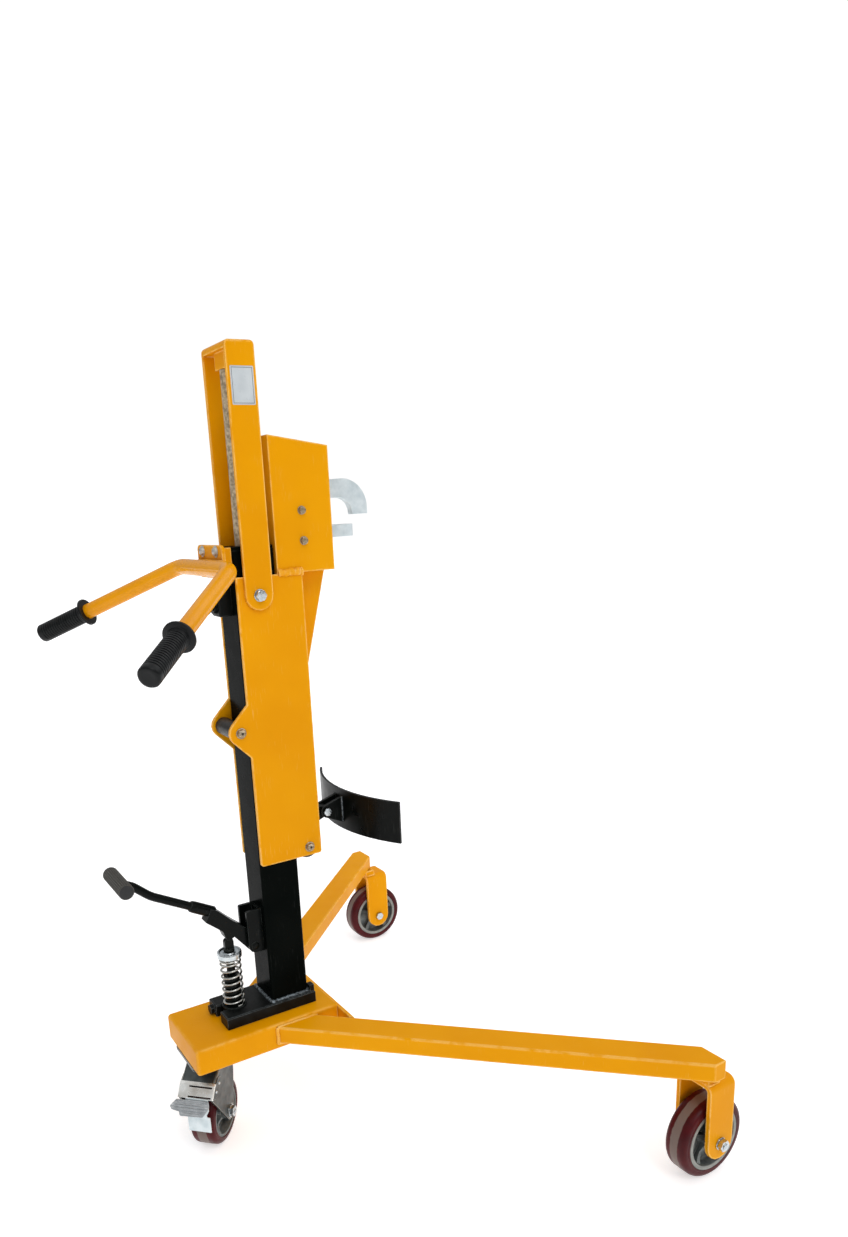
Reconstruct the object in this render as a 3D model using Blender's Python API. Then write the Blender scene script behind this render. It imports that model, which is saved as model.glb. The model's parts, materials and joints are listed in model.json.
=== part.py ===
"""Hydraulic drum lifter: a three-wheeled truck with a foot pump, a lifting carriage,
a beak clamp that grips a rim and a tilting rest below it.

Metres, +Z up, +Y from the handle to the jaws, +X to the truck's right. The origin lies on the floor,
midway along the truck's length. Every piece is drawn in the frame of the mast, whose axis is
x = 0, y = 0, and the castor's pieces in the frame of its swivel axis.
"""

import math

import bmesh
import bpy
from mathutils import Matrix, Vector

# Clearances between pieces
SEAT_GAP = 0.0003
BORE_GAP = 0.0003
CARRIAGE_PLAY = 0.0005

# Fineness of round shapes
ARC_STEP = math.radians(24)
WHEEL_STEPS = 24
ROUND_STEPS = 20
SMALL_ROUND_STEPS = 16
BOLT_STEPS = 12
SHARP_ANGLE = math.radians(35)
MERGE_DISTANCE = 1e-6
CUT_MARGIN = 0.005

# Base beam
BEAM_UNDERSIDE = 0.197
BEAM_HEIGHT = 0.052
BEAM_WIDTH = 0.160
BEAM_REAR = 0.2085
BEAM_FRONT = 0.0775
BEAM_WALL = 0.004
BEAM_CORNER = 0.006

# Splayed legs and the tie plate between them
LEG_WIDTH = 0.056
LEG_HEIGHT = 0.034
LEG_WALL = 0.003
LEG_CORNER = 0.003
LEG_DROP = 0.006
LEG_ROOT = -0.0498
LEG_REACH_SIDE = 0.613
LEG_REACH_FRONT = 0.5275
LEG_SIDE_CUT = 0.0256
TIE_THICKNESS = 0.0077

# Front wheels in their forks
WHEEL_RADIUS = 0.075
TREAD_THICKNESS = 0.013
TREAD_WIDTH = 0.046
TREAD_SHOULDER = 0.009
HUB_RIM_THICKNESS = 0.008
HUB_RIM_INSET = 0.002
HUB_WEB = 0.010
HUB_BOSS_RADIUS = 0.015
SPOKE_COUNT = 5
SPOKE_WIDTH = 0.008
SPOKE_DEPTH = 0.030
WHEEL_INSET = 0.0424
WHEEL_FORWARD = 0.0041
FORK_THICKNESS = 0.008
FORK_LENGTH = 0.060
FORK_SIDE_GAP = 0.0055
FORK_BEND = 0.014
FORK_SPACER = 0.013
FORK_SPACER_HALF_WIDTH = 0.030
AXLE_RADIUS = 0.006
AXLE_HEAD_HEIGHT = 0.007
AXLE_HEAD_FLATS = 0.018
AXLE_NUT_HEIGHT = 0.009
AXLE_NUT_FLATS = 0.019
AXLE_WASHER_RADIUS = 0.0115
AXLE_WASHER_THICKNESS = 0.002
AXLE_THREAD_END = 0.003

# Castor, with its swivel turned from straight ahead
CASTER_BACK = 0.165
CASTER_TURN = math.radians(45)
CASTER_TRAIL = 0.008
CASTER_RADIUS = 0.0625
CASTER_TREAD_THICKNESS = 0.014
CASTER_TREAD_WIDTH = 0.050
CASTER_TREAD_SHOULDER = 0.008
CASTER_PLATE_LENGTH = 0.085
CASTER_PLATE_WIDTH = 0.105
CASTER_PLATE_THICKNESS = 0.006
CASTER_PLATE_CORNER = 0.010
RACE_RADIUS = 0.038
RACE_HEIGHT = 0.007
RACE_LIP = 0.004
CUP_RADIUS = 0.036
CUP_HEIGHT = 0.004
KINGPIN_RADIUS = 0.006
KINGPIN_NUT_RADIUS = 0.011
KINGPIN_NUT_HEIGHT = 0.009
CASTER_FORK_THICKNESS = 0.004
CASTER_FORK_SIDE_GAP = 0.005
CASTER_FORK_BEND = 0.010
CASTER_FORK_HALF_LENGTH = 0.038
CASTER_BOSS_RADIUS = 0.016
CASTER_SHOULDER_DROP = 0.040
CASTER_REAR_REACH = 0.060
CASTER_REAR_DROP = 0.050
CASTER_AXLE_RADIUS = 0.005
CASTER_BOLT_FLATS = 0.017
CASTER_BOLT_HEIGHT = 0.008

# Brake on the castor
BRIDGE_THICKNESS = 0.0025
BRIDGE_EDGE = (-0.054, 0.150)
BRIDGE_TOP = (-0.042, 0.168)
BRIDGE_FOOT = (-0.064, 0.130)
BRIDGE_FORK_GAP = 0.01
SLOT_LENGTH = 0.046
SLOT_WIDTH = 0.003
SLOT_SIDE = 0.004
SLOT_INSET = 0.005
TONGUE_HALF_WIDTH = 0.021
TONGUE_LENGTH = 0.071
TONGUE_THICKNESS = 0.0022
BRAKE_KNUCKLE_RADIUS = 0.003
BRAKE_PEDAL_SLOPE = math.radians(36)
BRAKE_PEDAL_LENGTH = 0.030
BRAKE_PEDAL_THICKNESS = 0.003
BRAKE_PEDAL_HALF_WIDTH = 0.040
BRAKE_TOE_HALF_WIDTH = 0.026
BRAKE_TOE_LENGTH = 0.011
BRAKE_WING_SHARE = 0.6
BRAKE_WING_CORNER = 0.004
BRAKE_TOE_CORNER = 0.002
BRAKE_RIB_COUNT = 4
BRAKE_RIB_HEIGHT = 0.0016

# Hydraulic block on the beam
BLOCK_HALF_WIDTH = 0.047
BLOCK_REAR = 0.1328
BLOCK_FRONT = 0.0486
BLOCK_HEIGHT = 0.0227
BLOCK_CHAMFER = 0.002
BLOCK_NOTCH_WIDTH = 0.022
BLOCK_NOTCH_DEPTH = 0.014
BLOCK_PLUG_SIDE = -0.026
BLOCK_PLUG_FLATS = 0.017
BLOCK_PLUG_LENGTH = 0.008
BLOCK_LUG_WIDTH = 0.014
BLOCK_LUG_LENGTH = 0.009
BLOCK_LUG_HEIGHT = 0.013

# Mast, with the lift cylinder inside it
MAST_SIDE = 0.075
MAST_TOP = 1.105
MAST_WALL = 0.005
MAST_CORNER = 0.005
GLAND_HEIGHT = 0.006
GLAND_SPIGOT_RADIUS = 0.029
GLAND_SPIGOT_LENGTH = 0.015
CYLINDER_RADIUS = 0.025
CYLINDER_BORE = 0.020
CYLINDER_FLOOR = 0.010
ROD_RADIUS = 0.015
ROD_BOTTOM = 0.589
PISTON_HEIGHT = 0.020

# Foot pump
PUMP_BACK = 0.0995
PUMP_BARREL_RADIUS = 0.015
PUMP_BARREL_HEIGHT = 0.063
PUMP_BARREL_FLOOR = 0.008
PUMP_PISTON_RADIUS = 0.008
PUMP_PISTON_TOP = 0.408
PUMP_PISTON_LENGTH = 0.094
CAP_RADIUS = 0.023
CAP_HEIGHT = 0.013
CAP_TOP = 0.382
CAP_LIP = 0.004
COLLAR_RADIUS = 0.0105
COLLAR_HEIGHT = 0.004
SPRING_RADIUS = 0.0185
SPRING_WIRE_RADIUS = 0.002
SPRING_COILS = 8
SPRING_STEPS_PER_COIL = 11

# Pedal and its bracket
PEDAL_PIVOT = (-0.0548, 0.388)
PEDAL_LUG_RADIUS = 0.015
PEDAL_BRACKET_TOP = 0.458
PEDAL_BRACKET_REACH = 0.0670
PEDAL_BRACKET_PLATE = 0.004
PEDAL_BRACKET_CORNER = 0.003
PEDAL_CHEEK_INNER = 0.015
PEDAL_CHEEK_THICKNESS = 0.006
PEDAL_PIN_RADIUS = 0.005
PEDAL_PIN_HEAD_RADIUS = 0.008
PEDAL_PIN_HEAD = 0.003
LEVER_HALF_WIDTH = 0.012
LEVER_HUB_RADIUS = 0.013
LEVER_NOSE_RADIUS = 0.008
LEVER_RELIEF = 0.009
LEVER_TOP_FRONT = (-0.067, 0.424)
LEVER_TOP_REAR = (-0.130, 0.478)
LEVER_FOOT_REAR = (-0.142, 0.455)
LEVER_FOOT_FRONT = (-0.112, 0.429)
PEDAL_BAR_RADIUS = 0.0075
PEDAL_BAR_ROOT = (-0.125, 0.4684)
PEDAL_BAR_KNEE = (-0.233, 0.528)
PEDAL_BAR_CROOK = (-0.2606, 0.553)
PEDAL_BAR_BEND = 0.045
SOCKET_RADIUS = 0.0105
SOCKET_LENGTH = 0.044
PAD_CENTRE = (-0.2846, 0.566)
PAD_RADIUS = 0.0135
PAD_HALF_LENGTH = 0.050
PAD_RIB_DEPTH = 0.0009
PAD_RIB_COUNT = 16
PAD_END_WALL = 0.003
PAD_ROD_RADIUS = 0.006

# Handle
HANDLE_TUBE_RADIUS = 0.0135
HANDLE_TUBE_WALL = 0.0025
HANDLE_BACK = 0.0756
HANDLE_DROP = 0.0257
HANDLE_CORNER = 0.1175
HANDLE_BEND = 0.045
HANDLE_ARM = 0.3147
ARM_SIDE = 0.657
ARM_BACK = 0.663
ARM_DROP = 0.360
HANDLE_PLATE_HALF_WIDTH = 0.056
HANDLE_PLATE_THICKNESS = 0.006
HANDLE_PLATE_ABOVE = 0.0367
HANDLE_PLATE_BELOW = 0.0173
HANDLE_PLATE_CORNER = 0.010
HANDLE_PLATE_SINK = 0.001
HANDLE_CHANNEL_HALF_WIDTH = 0.034
HANDLE_CHANNEL_WALL = 0.005
GRIP_RADIUS = 0.0185
GRIP_LENGTH = 0.110
GRIP_FLANGE_RADIUS = 0.027
GRIP_FLANGE_THICKNESS = 0.005
GRIP_END_WALL = 0.004
GRIP_GROOVE_COUNT = 11
GRIP_GROOVE_DEPTH = 0.0016
GRIP_STEPS = 16

# Release valve
VALVE_HALF_WIDTH = 0.017
VALVE_DEPTH = 0.024
VALVE_DROP = 0.055
VALVE_HEIGHT = 0.053
VALVE_BOSS_RADIUS = 0.010
VALVE_BOSS_LENGTH = 0.006
KNOB_DROP = 0.038
KNOB_BACK = 0.0815
KNOB_RADIUS = 0.012
KNOB_STALK_RADIUS = 0.004
KNOB_RINGS = 7

# Carriage plates and guide rollers
SIDE_PLATE_THICKNESS = 0.006
SIDE_PLATE_BOTTOM = 0.5476
SIDE_PLATE_TOP = 1.0617
SIDE_PLATE_FRONT = 0.0848
SIDE_PLATE_CORNER = 0.005
EAR_RADIUS = 0.0215
EAR_SPREAD = 0.0475
REAR_ROLLER_RADIUS = 0.0157
REAR_ROLLER_HEIGHT = 0.799
FRONT_ROLLER_RADIUS = 0.0231
FRONT_ROLLER_HEIGHT = 0.564
ROLLER_AXLE_RADIUS = 0.005
ROLLER_CHAMFER = 0.002
AXLE_BOLT_FLATS = 0.015
AXLE_BOLT_HEAD = 0.006
FRONT_PLATE_THICKNESS = 0.008
FRONT_PLATE_INSET = 0.0008
FRONT_PLATE_BOTTOM = 0.592

# Yoke between the piston rod and the carriage
YOKE_THICKNESS = 0.006
YOKE_BAR = 0.012
YOKE_HALF_LENGTH = 0.025
YOKE_TOP = 1.427
YOKE_BEND = 0.008
YOKE_BOLT_HEIGHT = 1.030
YOKE_BOLT_RADIUS = 0.007
YOKE_BOLT_FLATS = 0.019
YOKE_BOLT_HEAD = 0.008
ROD_BLOCK_HALF_WIDTH = 0.021
ROD_BLOCK_HALF_LENGTH = 0.015
ROD_BLOCK_HEIGHT = 0.0257

# Clamp housing and its rib
HOUSING_REAR_GAP = 0.0008
HOUSING_FRONT = 0.1488
HOUSING_WALL = 0.006
HOUSING_HEIGHT = 0.2243
HOUSING_ROOF_FALL = 0.018
GUSSET_HALF_WIDTH = 0.005
GUSSET_FOOT = 0.823
GUSSET_WAIST = (0.109, 0.916)

# Jaws
JAW_PIN_RADIUS = 0.005
JAW_PIN_FLATS = 0.014
JAW_PIN_HEAD = 0.006
UPPER_PIN_FRONT = 0.0915
UPPER_PIN_RISE = 0.1023
LOWER_PIN_FRONT = 0.092
LOWER_PIN_RISE = 0.0523
BEAK_HALF_WIDTH = 0.008
BEAK_HUB_RADIUS = 0.016
BEAK_SLEEVE_RADIUS = 0.010
BEAK_FRONT = 0.2420
BEAK_RISE = 0.053
BEAK_NOSE_RADIUS = 0.050
BEAK_BACK_FRONT = 0.150
BEAK_BACK_RISE = 0.049
BEAK_BACK_RADIUS = 0.030
BEAK_TIP_FALL = 0.0115
BEAK_TIP_REAR = 0.2105
BEAK_THROAT_RISE = 0.018
BEAK_THROAT_FRONT = 0.2070
BEAK_THROAT_REAR = 0.140
BEAK_THROAT_RADIUS = 0.026
LOWER_JAW_RISE = 0.0225
LOWER_JAW_THICKNESS = 0.021
LOWER_JAW_REAR = 0.062
LOWER_JAW_FRONT = 0.210
LOWER_JAW_HALF_WIDTH = 0.022
LOWER_JAW_NOSE = 0.020
LOWER_JAW_BOSS_RADIUS = 0.012

# Drum rest
REST_BOLT = (0.116, 0.613)
REST_BOLT_RADIUS = 0.005
REST_BOLT_FLATS = 0.014
REST_BOLT_HEAD = 0.005
REST_STUB_HALF_WIDTH = 0.009
REST_STUB_RADIUS = 0.010
REST_STUB_FOOT = 0.590
REST_STUB_TOP = 0.626
REST_LUG_THICKNESS = 0.006
REST_LUG_RADIUS = 0.012
REST_LUG_SPREAD = 0.026
DRUM_AXIS = 0.4465
BAND_RADIUS = 0.2925
BAND_THICKNESS = 0.005
BAND_HALF_ANGLE = math.radians(31)
BAND_BOTTOM = 0.571
BAND_TOP = 0.650
BAND_STEPS = 14
BAND_SINK = 0.002

# Places that follow from the sizes above
BEAM_TOP = BEAM_UNDERSIDE + BEAM_HEIGHT
LEG_TOP = BEAM_TOP - LEG_DROP
LEG_UNDERSIDE = LEG_TOP - LEG_HEIGHT
BLOCK_BOTTOM = BEAM_TOP + SEAT_GAP
BLOCK_TOP = BLOCK_BOTTOM + BLOCK_HEIGHT
MAST_FOOT = BLOCK_TOP + SEAT_GAP
MAST_HALF = MAST_SIDE / 2
LEG_SPLAY = math.atan2(
    LEG_REACH_SIDE - BEAM_WIDTH / 2, LEG_REACH_FRONT - LEG_SIDE_CUT - LEG_ROOT
)
PLATE_INNER = MAST_HALF + CARRIAGE_PLAY
PLATE_OUTER = PLATE_INNER + SIDE_PLATE_THICKNESS
WHEEL_SIDE = LEG_REACH_SIDE - WHEEL_INSET
WHEEL_FRONT = LEG_REACH_FRONT + WHEEL_FORWARD
CASTER_PLATE_TOP = BEAM_UNDERSIDE - SEAT_GAP
FORK_CROWN_TOP = (
    CASTER_PLATE_TOP - CASTER_PLATE_THICKNESS - RACE_HEIGHT - SEAT_GAP - CUP_HEIGHT
)
REAR_ROLLER_BACK = MAST_HALF + SEAT_GAP + REAR_ROLLER_RADIUS
FRONT_ROLLER_FRONT = MAST_HALF + SEAT_GAP + FRONT_ROLLER_RADIUS
MAST_REAR_SEAT = -MAST_HALF - SEAT_GAP
HANDLE_HEIGHT = MAST_TOP - HANDLE_DROP
HANDLE_PLATE_TOP = HANDLE_HEIGHT + HANDLE_PLATE_ABOVE
HANDLE_PLATE_BOTTOM = HANDLE_HEIGHT - HANDLE_PLATE_BELOW
VALVE_TOP = MAST_TOP - VALVE_DROP
VALVE_BOTTOM = VALVE_TOP - VALVE_HEIGHT
KNOB_HEIGHT = VALVE_TOP - KNOB_DROP
ROD_TOP = YOKE_TOP - YOKE_BAR - ROD_BLOCK_HEIGHT - SEAT_GAP
HOUSING_TOP_REAR = SIDE_PLATE_TOP + HOUSING_HEIGHT
HOUSING_TOP_FRONT = HOUSING_TOP_REAR - HOUSING_ROOF_FALL
UPPER_PIN = (UPPER_PIN_FRONT, SIDE_PLATE_TOP + UPPER_PIN_RISE)
LOWER_PIN = (LOWER_PIN_FRONT, SIDE_PLATE_TOP + LOWER_PIN_RISE)
BEAK_TOP = UPPER_PIN[1] + BEAK_RISE
BEAK_BACK = (BEAK_BACK_FRONT, UPPER_PIN[1] + BEAK_BACK_RISE)
BEAK_TIP_HEIGHT = UPPER_PIN[1] - BEAK_TIP_FALL
BEAK_THROAT_HEIGHT = UPPER_PIN[1] + BEAK_THROAT_RISE
LOWER_JAW_TOP = LOWER_PIN[1] + LOWER_JAW_RISE
ARM_DIRECTION = Vector((ARM_SIDE, -ARM_BACK, -ARM_DROP)).normalized()
GRIP_END = HANDLE_BACK - ARM_DIRECTION.y * (
    HANDLE_ARM + GRIP_END_WALL + SEAT_GAP - GRIP_GROOVE_DEPTH
)
GRIP_EDGE = GRIP_RADIUS * math.sqrt(1 - ARM_DIRECTION.y**2)
REAR_REACH = max(PAD_RADIUS - PAD_CENTRE[0], GRIP_END + GRIP_EDGE)
FRONT_REACH = WHEEL_FRONT + WHEEL_RADIUS
MAST_PLACE = (REAR_REACH - FRONT_REACH) / 2

# Finishes: colour as sRGB, roughness, metallic
YELLOW_PAINT = ((229, 153, 4), 0.40, 0.0)
BLACK_PAINT = ((14, 17, 15), 0.42, 0.0)
BLACK_RUBBER = ((26, 27, 27), 0.75, 0.0)
BLACK_PLASTIC = ((12, 12, 13), 0.30, 0.0)
ZINC_PLATE = ((200, 206, 208), 0.35, 1.0)
BRIGHT_STEEL = ((190, 192, 190), 0.28, 1.0)
FORK_STEEL = ((120, 124, 122), 0.45, 1.0)
GREY_CASTING = ((118, 124, 122), 0.60, 0.2)
MAROON_TREAD = ((82, 18, 22), 0.45, 0.0)
LIGHT_GREY = ((160, 165, 170), 0.50, 0.0)


def linear(level):
    """Linear value of an sRGB level between 0 and 255."""
    share = level / 255
    return share / 12.92 if share <= 0.04045 else ((share + 0.055) / 1.055) ** 2.4


def material(name, finish):
    colour, roughness, metallic = finish
    surface = bpy.data.materials.new(name)
    surface.use_nodes = True
    shader = surface.node_tree.nodes["Principled BSDF"]
    shader.inputs["Base Color"].default_value = (*map(linear, colour), 1.0)
    shader.inputs["Roughness"].default_value = roughness
    shader.inputs["Metallic"].default_value = metallic
    return surface


def add_body(name, pivot, parent=None, turn=0.0):
    """Empty on a joint's axis. A turned one starts a drawing frame of its own."""
    body = bpy.data.objects.new(name, None)
    body.empty_display_size = 0.05
    bpy.context.collection.objects.link(body)
    body.parent = parent
    body.location = Vector(pivot)
    if parent:
        body.location -= Vector(parent["drawn_at"])
    body.rotation_euler.z = turn
    body["drawn_at"] = (0.0, 0.0, 0.0) if turn or not parent else tuple(pivot)
    return body


def add_node(name, shape, finish, body):
    """Object made from a shape drawn in the body's frame, with its origin on the body's axis."""
    bmesh.ops.translate(shape, vec=-Vector(body["drawn_at"]), verts=shape.verts)
    mesh = bpy.data.meshes.new(name)
    shape.to_mesh(mesh)
    shape.free()
    mesh.shade_smooth()
    mesh.set_sharp_from_angle(angle=SHARP_ANGLE)
    mesh.materials.append(material(name, finish))
    node = bpy.data.objects.new(name, mesh)
    bpy.context.collection.objects.link(node)
    node.parent = body
    return node


def combine(node, operation, label, shape, finish):
    """Boolean between a node and a hidden shape of the same body."""
    helper = add_node(f"{node.name}_{label}", shape, finish, node.parent)
    helper.hide_render = True
    helper.display_type = "WIRE"
    modifier = node.modifiers.new(label, "BOOLEAN")
    modifier.operation = operation
    modifier.solver = "EXACT"
    modifier.object = helper


def fuse(node, label, shape, finish):
    combine(node, "UNION", label, shape, finish)


def cut(node, label, shape):
    combine(node, "DIFFERENCE", label, shape, BRIGHT_STEEL)


def trim_to(node, label, shape):
    combine(node, "INTERSECT", label, shape, BRIGHT_STEEL)


def outward(shape):
    """The shape with its faces turned out."""
    bmesh.ops.recalc_face_normals(shape, faces=shape.faces)
    if shape.calc_volume(signed=True) < 0:
        bmesh.ops.reverse_faces(shape, faces=shape.faces)
    return shape


def rounded(corners, closed=True):
    """Points of a path whose corners (..., radius) are rounded; it may be flat or in space."""
    count = len(corners)
    points = []
    for index, (*place, radius) in enumerate(corners):
        here = Vector(place)
        if radius <= 0 or (not closed and index in (0, count - 1)):
            points.append(here)
            continue
        back = (Vector(corners[index - 1][:-1]) - here).normalized()
        ahead = (Vector(corners[(index + 1) % count][:-1]) - here).normalized()
        half = back.angle(ahead) / 2
        centre = here + (back + ahead).normalized() * radius / math.sin(half)
        start = here + back * radius / math.tan(half) - centre
        end = here + ahead * radius / math.tan(half) - centre
        turn = math.pi - 2 * half
        steps = max(1, math.ceil(turn / ARC_STEP - 1e-9))
        for step in range(steps + 1):
            first = math.sin(turn * (1 - step / steps)) / math.sin(turn)
            last = math.sin(turn * step / steps) / math.sin(turn)
            points.append(centre + start * first + end * last)
    return points


def wrapped(before, centre, radius, after):
    """Arc round a circle, anticlockwise, between its tangents from two outside points."""
    middle = Vector(centre)
    coming = Vector(before) - middle
    going = Vector(after) - middle
    start = math.atan2(coming.y, coming.x) + math.acos(radius / coming.length)
    end = math.atan2(going.y, going.x) - math.acos(radius / going.length)
    turn = (end - start) % math.tau
    steps = max(2, math.ceil(turn / ARC_STEP))
    angles = [start + turn * step / steps for step in range(steps + 1)]
    return [middle + radius * Vector((math.cos(a), math.sin(a))) for a in angles]


def polygon(centre, flats):
    """Hexagon given by its width across the flats."""
    radius = flats / math.sqrt(3)
    angles = [math.radians(30 + 60 * side) for side in range(6)]
    return [Vector(centre) + radius * Vector((math.cos(a), math.sin(a))) for a in angles]


def prism(outline, axis, start, end):
    """Solid whose outline, in the plane across an axis, runs from start to end along it."""
    shape = bmesh.new()
    corners = []
    for u, v in outline:
        place = {"x": (start, u, v), "y": (u, start, v), "z": (u, v, start)}[axis]
        corners.append(shape.verts.new(place))
    extruded = bmesh.ops.extrude_face_region(shape, geom=[shape.faces.new(corners)])
    moved = [item for item in extruded["geom"] if isinstance(item, bmesh.types.BMVert)]
    reach = Vector([end - start if letter == axis else 0.0 for letter in "xyz"])
    bmesh.ops.translate(shape, vec=reach, verts=moved)
    return outward(shape)


def box(x_range, y_range, z_range):
    (left, right), (back, front) = x_range, y_range
    corners = [(left, back), (right, back), (right, front), (left, front)]
    return prism(corners, "z", *z_range)


def bevelled(shape, width, segments, wanted):
    """The shape with the chosen edges rounded."""
    edges = [edge for edge in shape.edges if wanted(edge)]
    bmesh.ops.bevel(
        shape, geom=edges, offset=width, segments=segments, profile=0.5, affect="EDGES"
    )
    return outward(shape)


def turned(profile, axis, centre, steps=ROUND_STEPS):
    """Solid of revolution from (radius, place along the axis). Open ends lie on the axis."""
    shape = bmesh.new()
    spots = [shape.verts.new((radius, 0.0, along)) for radius, along in profile]
    edges = [shape.edges.new(pair) for pair in zip(spots, spots[1:])]
    if profile[0][0] > 0:
        edges.append(shape.edges.new((spots[-1], spots[0])))
    bmesh.ops.spin(
        shape, geom=spots + edges, cent=(0, 0, 0), axis=(0, 0, 1), angle=math.tau,
        steps=steps, use_merge=True,
    )
    bmesh.ops.remove_doubles(shape, verts=shape.verts, dist=MERGE_DISTANCE)
    turns = {
        "x": Matrix.Rotation(math.pi / 2, 4, "Y"),
        "y": Matrix.Rotation(-math.pi / 2, 4, "X"),
        "z": Matrix.Identity(4),
    }
    placed = Matrix.Translation(centre) @ turns[axis]
    bmesh.ops.transform(shape, matrix=placed, verts=shape.verts)
    return outward(shape)


def rod(radius, axis, centre, start, end, steps=BOLT_STEPS):
    """Plain round rod between two places along an axis."""
    profile = [(0.0, start), (radius, start), (radius, end), (0.0, end)]
    return turned(profile, axis, centre, steps)


def round_bar(path, radius, fineness=3):
    """Round bar along a path, with flat ends."""
    curve = bpy.data.curves.new("bar_path", "CURVE")
    curve.dimensions = "3D"
    curve.bevel_depth = radius
    curve.bevel_resolution = fineness
    curve.use_fill_caps = True
    spline = curve.splines.new("POLY")
    spline.points.add(len(path) - 1)
    for point, place in zip(spline.points, path):
        point.co = (*place, 1.0)
    guide = bpy.data.objects.new("bar_path", curve)
    mesh = bpy.data.meshes.new_from_object(guide)
    shape = bmesh.new()
    shape.from_mesh(mesh)
    bmesh.ops.remove_doubles(shape, verts=shape.verts, dist=MERGE_DISTANCE)
    bpy.data.objects.remove(guide)
    bpy.data.curves.remove(curve)
    bpy.data.meshes.remove(mesh)
    return outward(shape)


def across(place):
    """A (y, z) place in the middle plane, as a point in space."""
    return (0.0, *place)


def add_cross_bolt(name, place, radius, outer, flats, head, body):
    """Bolt along X through both plates, with a head on the right and a nut on the left."""
    end = outer + SEAT_GAP + head
    bolt = add_node(name, rod(radius, "x", across(place), -end, end), ZINC_PLATE, body)
    for label, start, stop in (("head", end - head, end + SEAT_GAP), ("nut", -end, head - end)):
        fuse(bolt, label, prism(polygon(place, flats), "x", start, stop), ZINC_PLATE)
    return bolt


def add_base_beam(base):
    """Rectangular tube, capped at the rear."""
    half = BEAM_WIDTH / 2
    shape = box((-half, half), (-BEAM_REAR, BEAM_FRONT), (BEAM_UNDERSIDE, BEAM_TOP))
    shape = bevelled(
        shape, BEAM_CORNER, 2,
        lambda edge: any(vert.co.y < BEAM_FRONT - MERGE_DISTANCE for vert in edge.verts),
    )
    beam = add_node("base_beam", shape, YELLOW_PAINT, base)
    inner = half - BEAM_WALL
    hollow = box(
        (-inner, inner),
        (BEAM_WALL - BEAM_REAR, BEAM_FRONT + CUT_MARGIN),
        (BEAM_UNDERSIDE + BEAM_WALL, BEAM_TOP - BEAM_WALL),
    )
    cut(beam, "hollow", hollow)


def leg_outline(inset, root):
    """Plan of the right leg, from its root beside the beam, inset by a wall."""
    along = Vector((math.sin(LEG_SPLAY), math.cos(LEG_SPLAY)))
    inward = Vector((-along.y, along.x))
    outer = Vector((BEAM_WIDTH / 2, LEG_ROOT)) + inward * inset
    inner = Vector((BEAM_WIDTH / 2, LEG_ROOT)) + inward * (LEG_WIDTH - inset)
    side = LEG_REACH_SIDE - inset
    front = LEG_REACH_FRONT - inset

    def at_side(start, x):
        return start + along * (x - start.x) / along.x

    def at_front(start, y):
        return start + along * (y - start.y) / along.y

    return [
        at_side(outer, root),
        at_side(outer, side),
        Vector((side, front)),
        at_front(inner, front),
        at_side(inner, root),
    ]


def mirrored(outline, side):
    return [(side * u, v) for u, v in outline]


def add_leg(name, side, base):
    """Rectangular tube, mitred to the beam's side and cut square at the wheel."""
    root = BEAM_WIDTH / 2 + SEAT_GAP
    outline = mirrored(leg_outline(0.0, root), side)
    shape = prism(outline, "z", LEG_UNDERSIDE, LEG_TOP)
    long_edge = LEG_REACH_FRONT / 2
    shape = bevelled(shape, LEG_CORNER, 2, lambda edge: edge.calc_length() > long_edge)
    leg = add_node(name, shape, YELLOW_PAINT, base)
    hollow = mirrored(leg_outline(LEG_WALL, root - CUT_MARGIN), side)
    cut(leg, "hollow", prism(hollow, "z", LEG_UNDERSIDE + LEG_WALL, LEG_TOP - LEG_WALL))


def add_tie_plate(base):
    """Flat bar across the beam's front end, between the legs."""
    rear = BEAM_FRONT + SEAT_GAP
    front = rear + TIE_THICKNESS
    along = math.tan(LEG_SPLAY)
    inner_face = leg_outline(-SEAT_GAP, BEAM_WIDTH / 2)[-1]
    ends = [inner_face.x + (y - inner_face.y) * along for y in (rear, front)]
    corners = [(-ends[0], rear), (ends[0], rear), (ends[1], front), (-ends[1], front)]
    plate = prism(corners, "z", LEG_UNDERSIDE, LEG_TOP)
    add_node("front_tie_plate", plate, YELLOW_PAINT, base)


def bent_section(half_width, thickness, bottom, top, bend, bar=None):
    """Cross-section of a strip bent into an inverted U; the bar is its thickness on top."""
    inner = half_width - thickness
    roof = top - (bar or thickness)
    inside = max(bend - thickness, 0.0)
    corners = [
        (-half_width, bottom, 0.0),
        (-inner, bottom, 0.0),
        (-inner, roof, inside),
        (inner, roof, inside),
        (inner, bottom, 0.0),
        (half_width, bottom, 0.0),
        (half_width, top, bend),
        (-half_width, top, bend),
    ]
    return rounded(corners)


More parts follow.
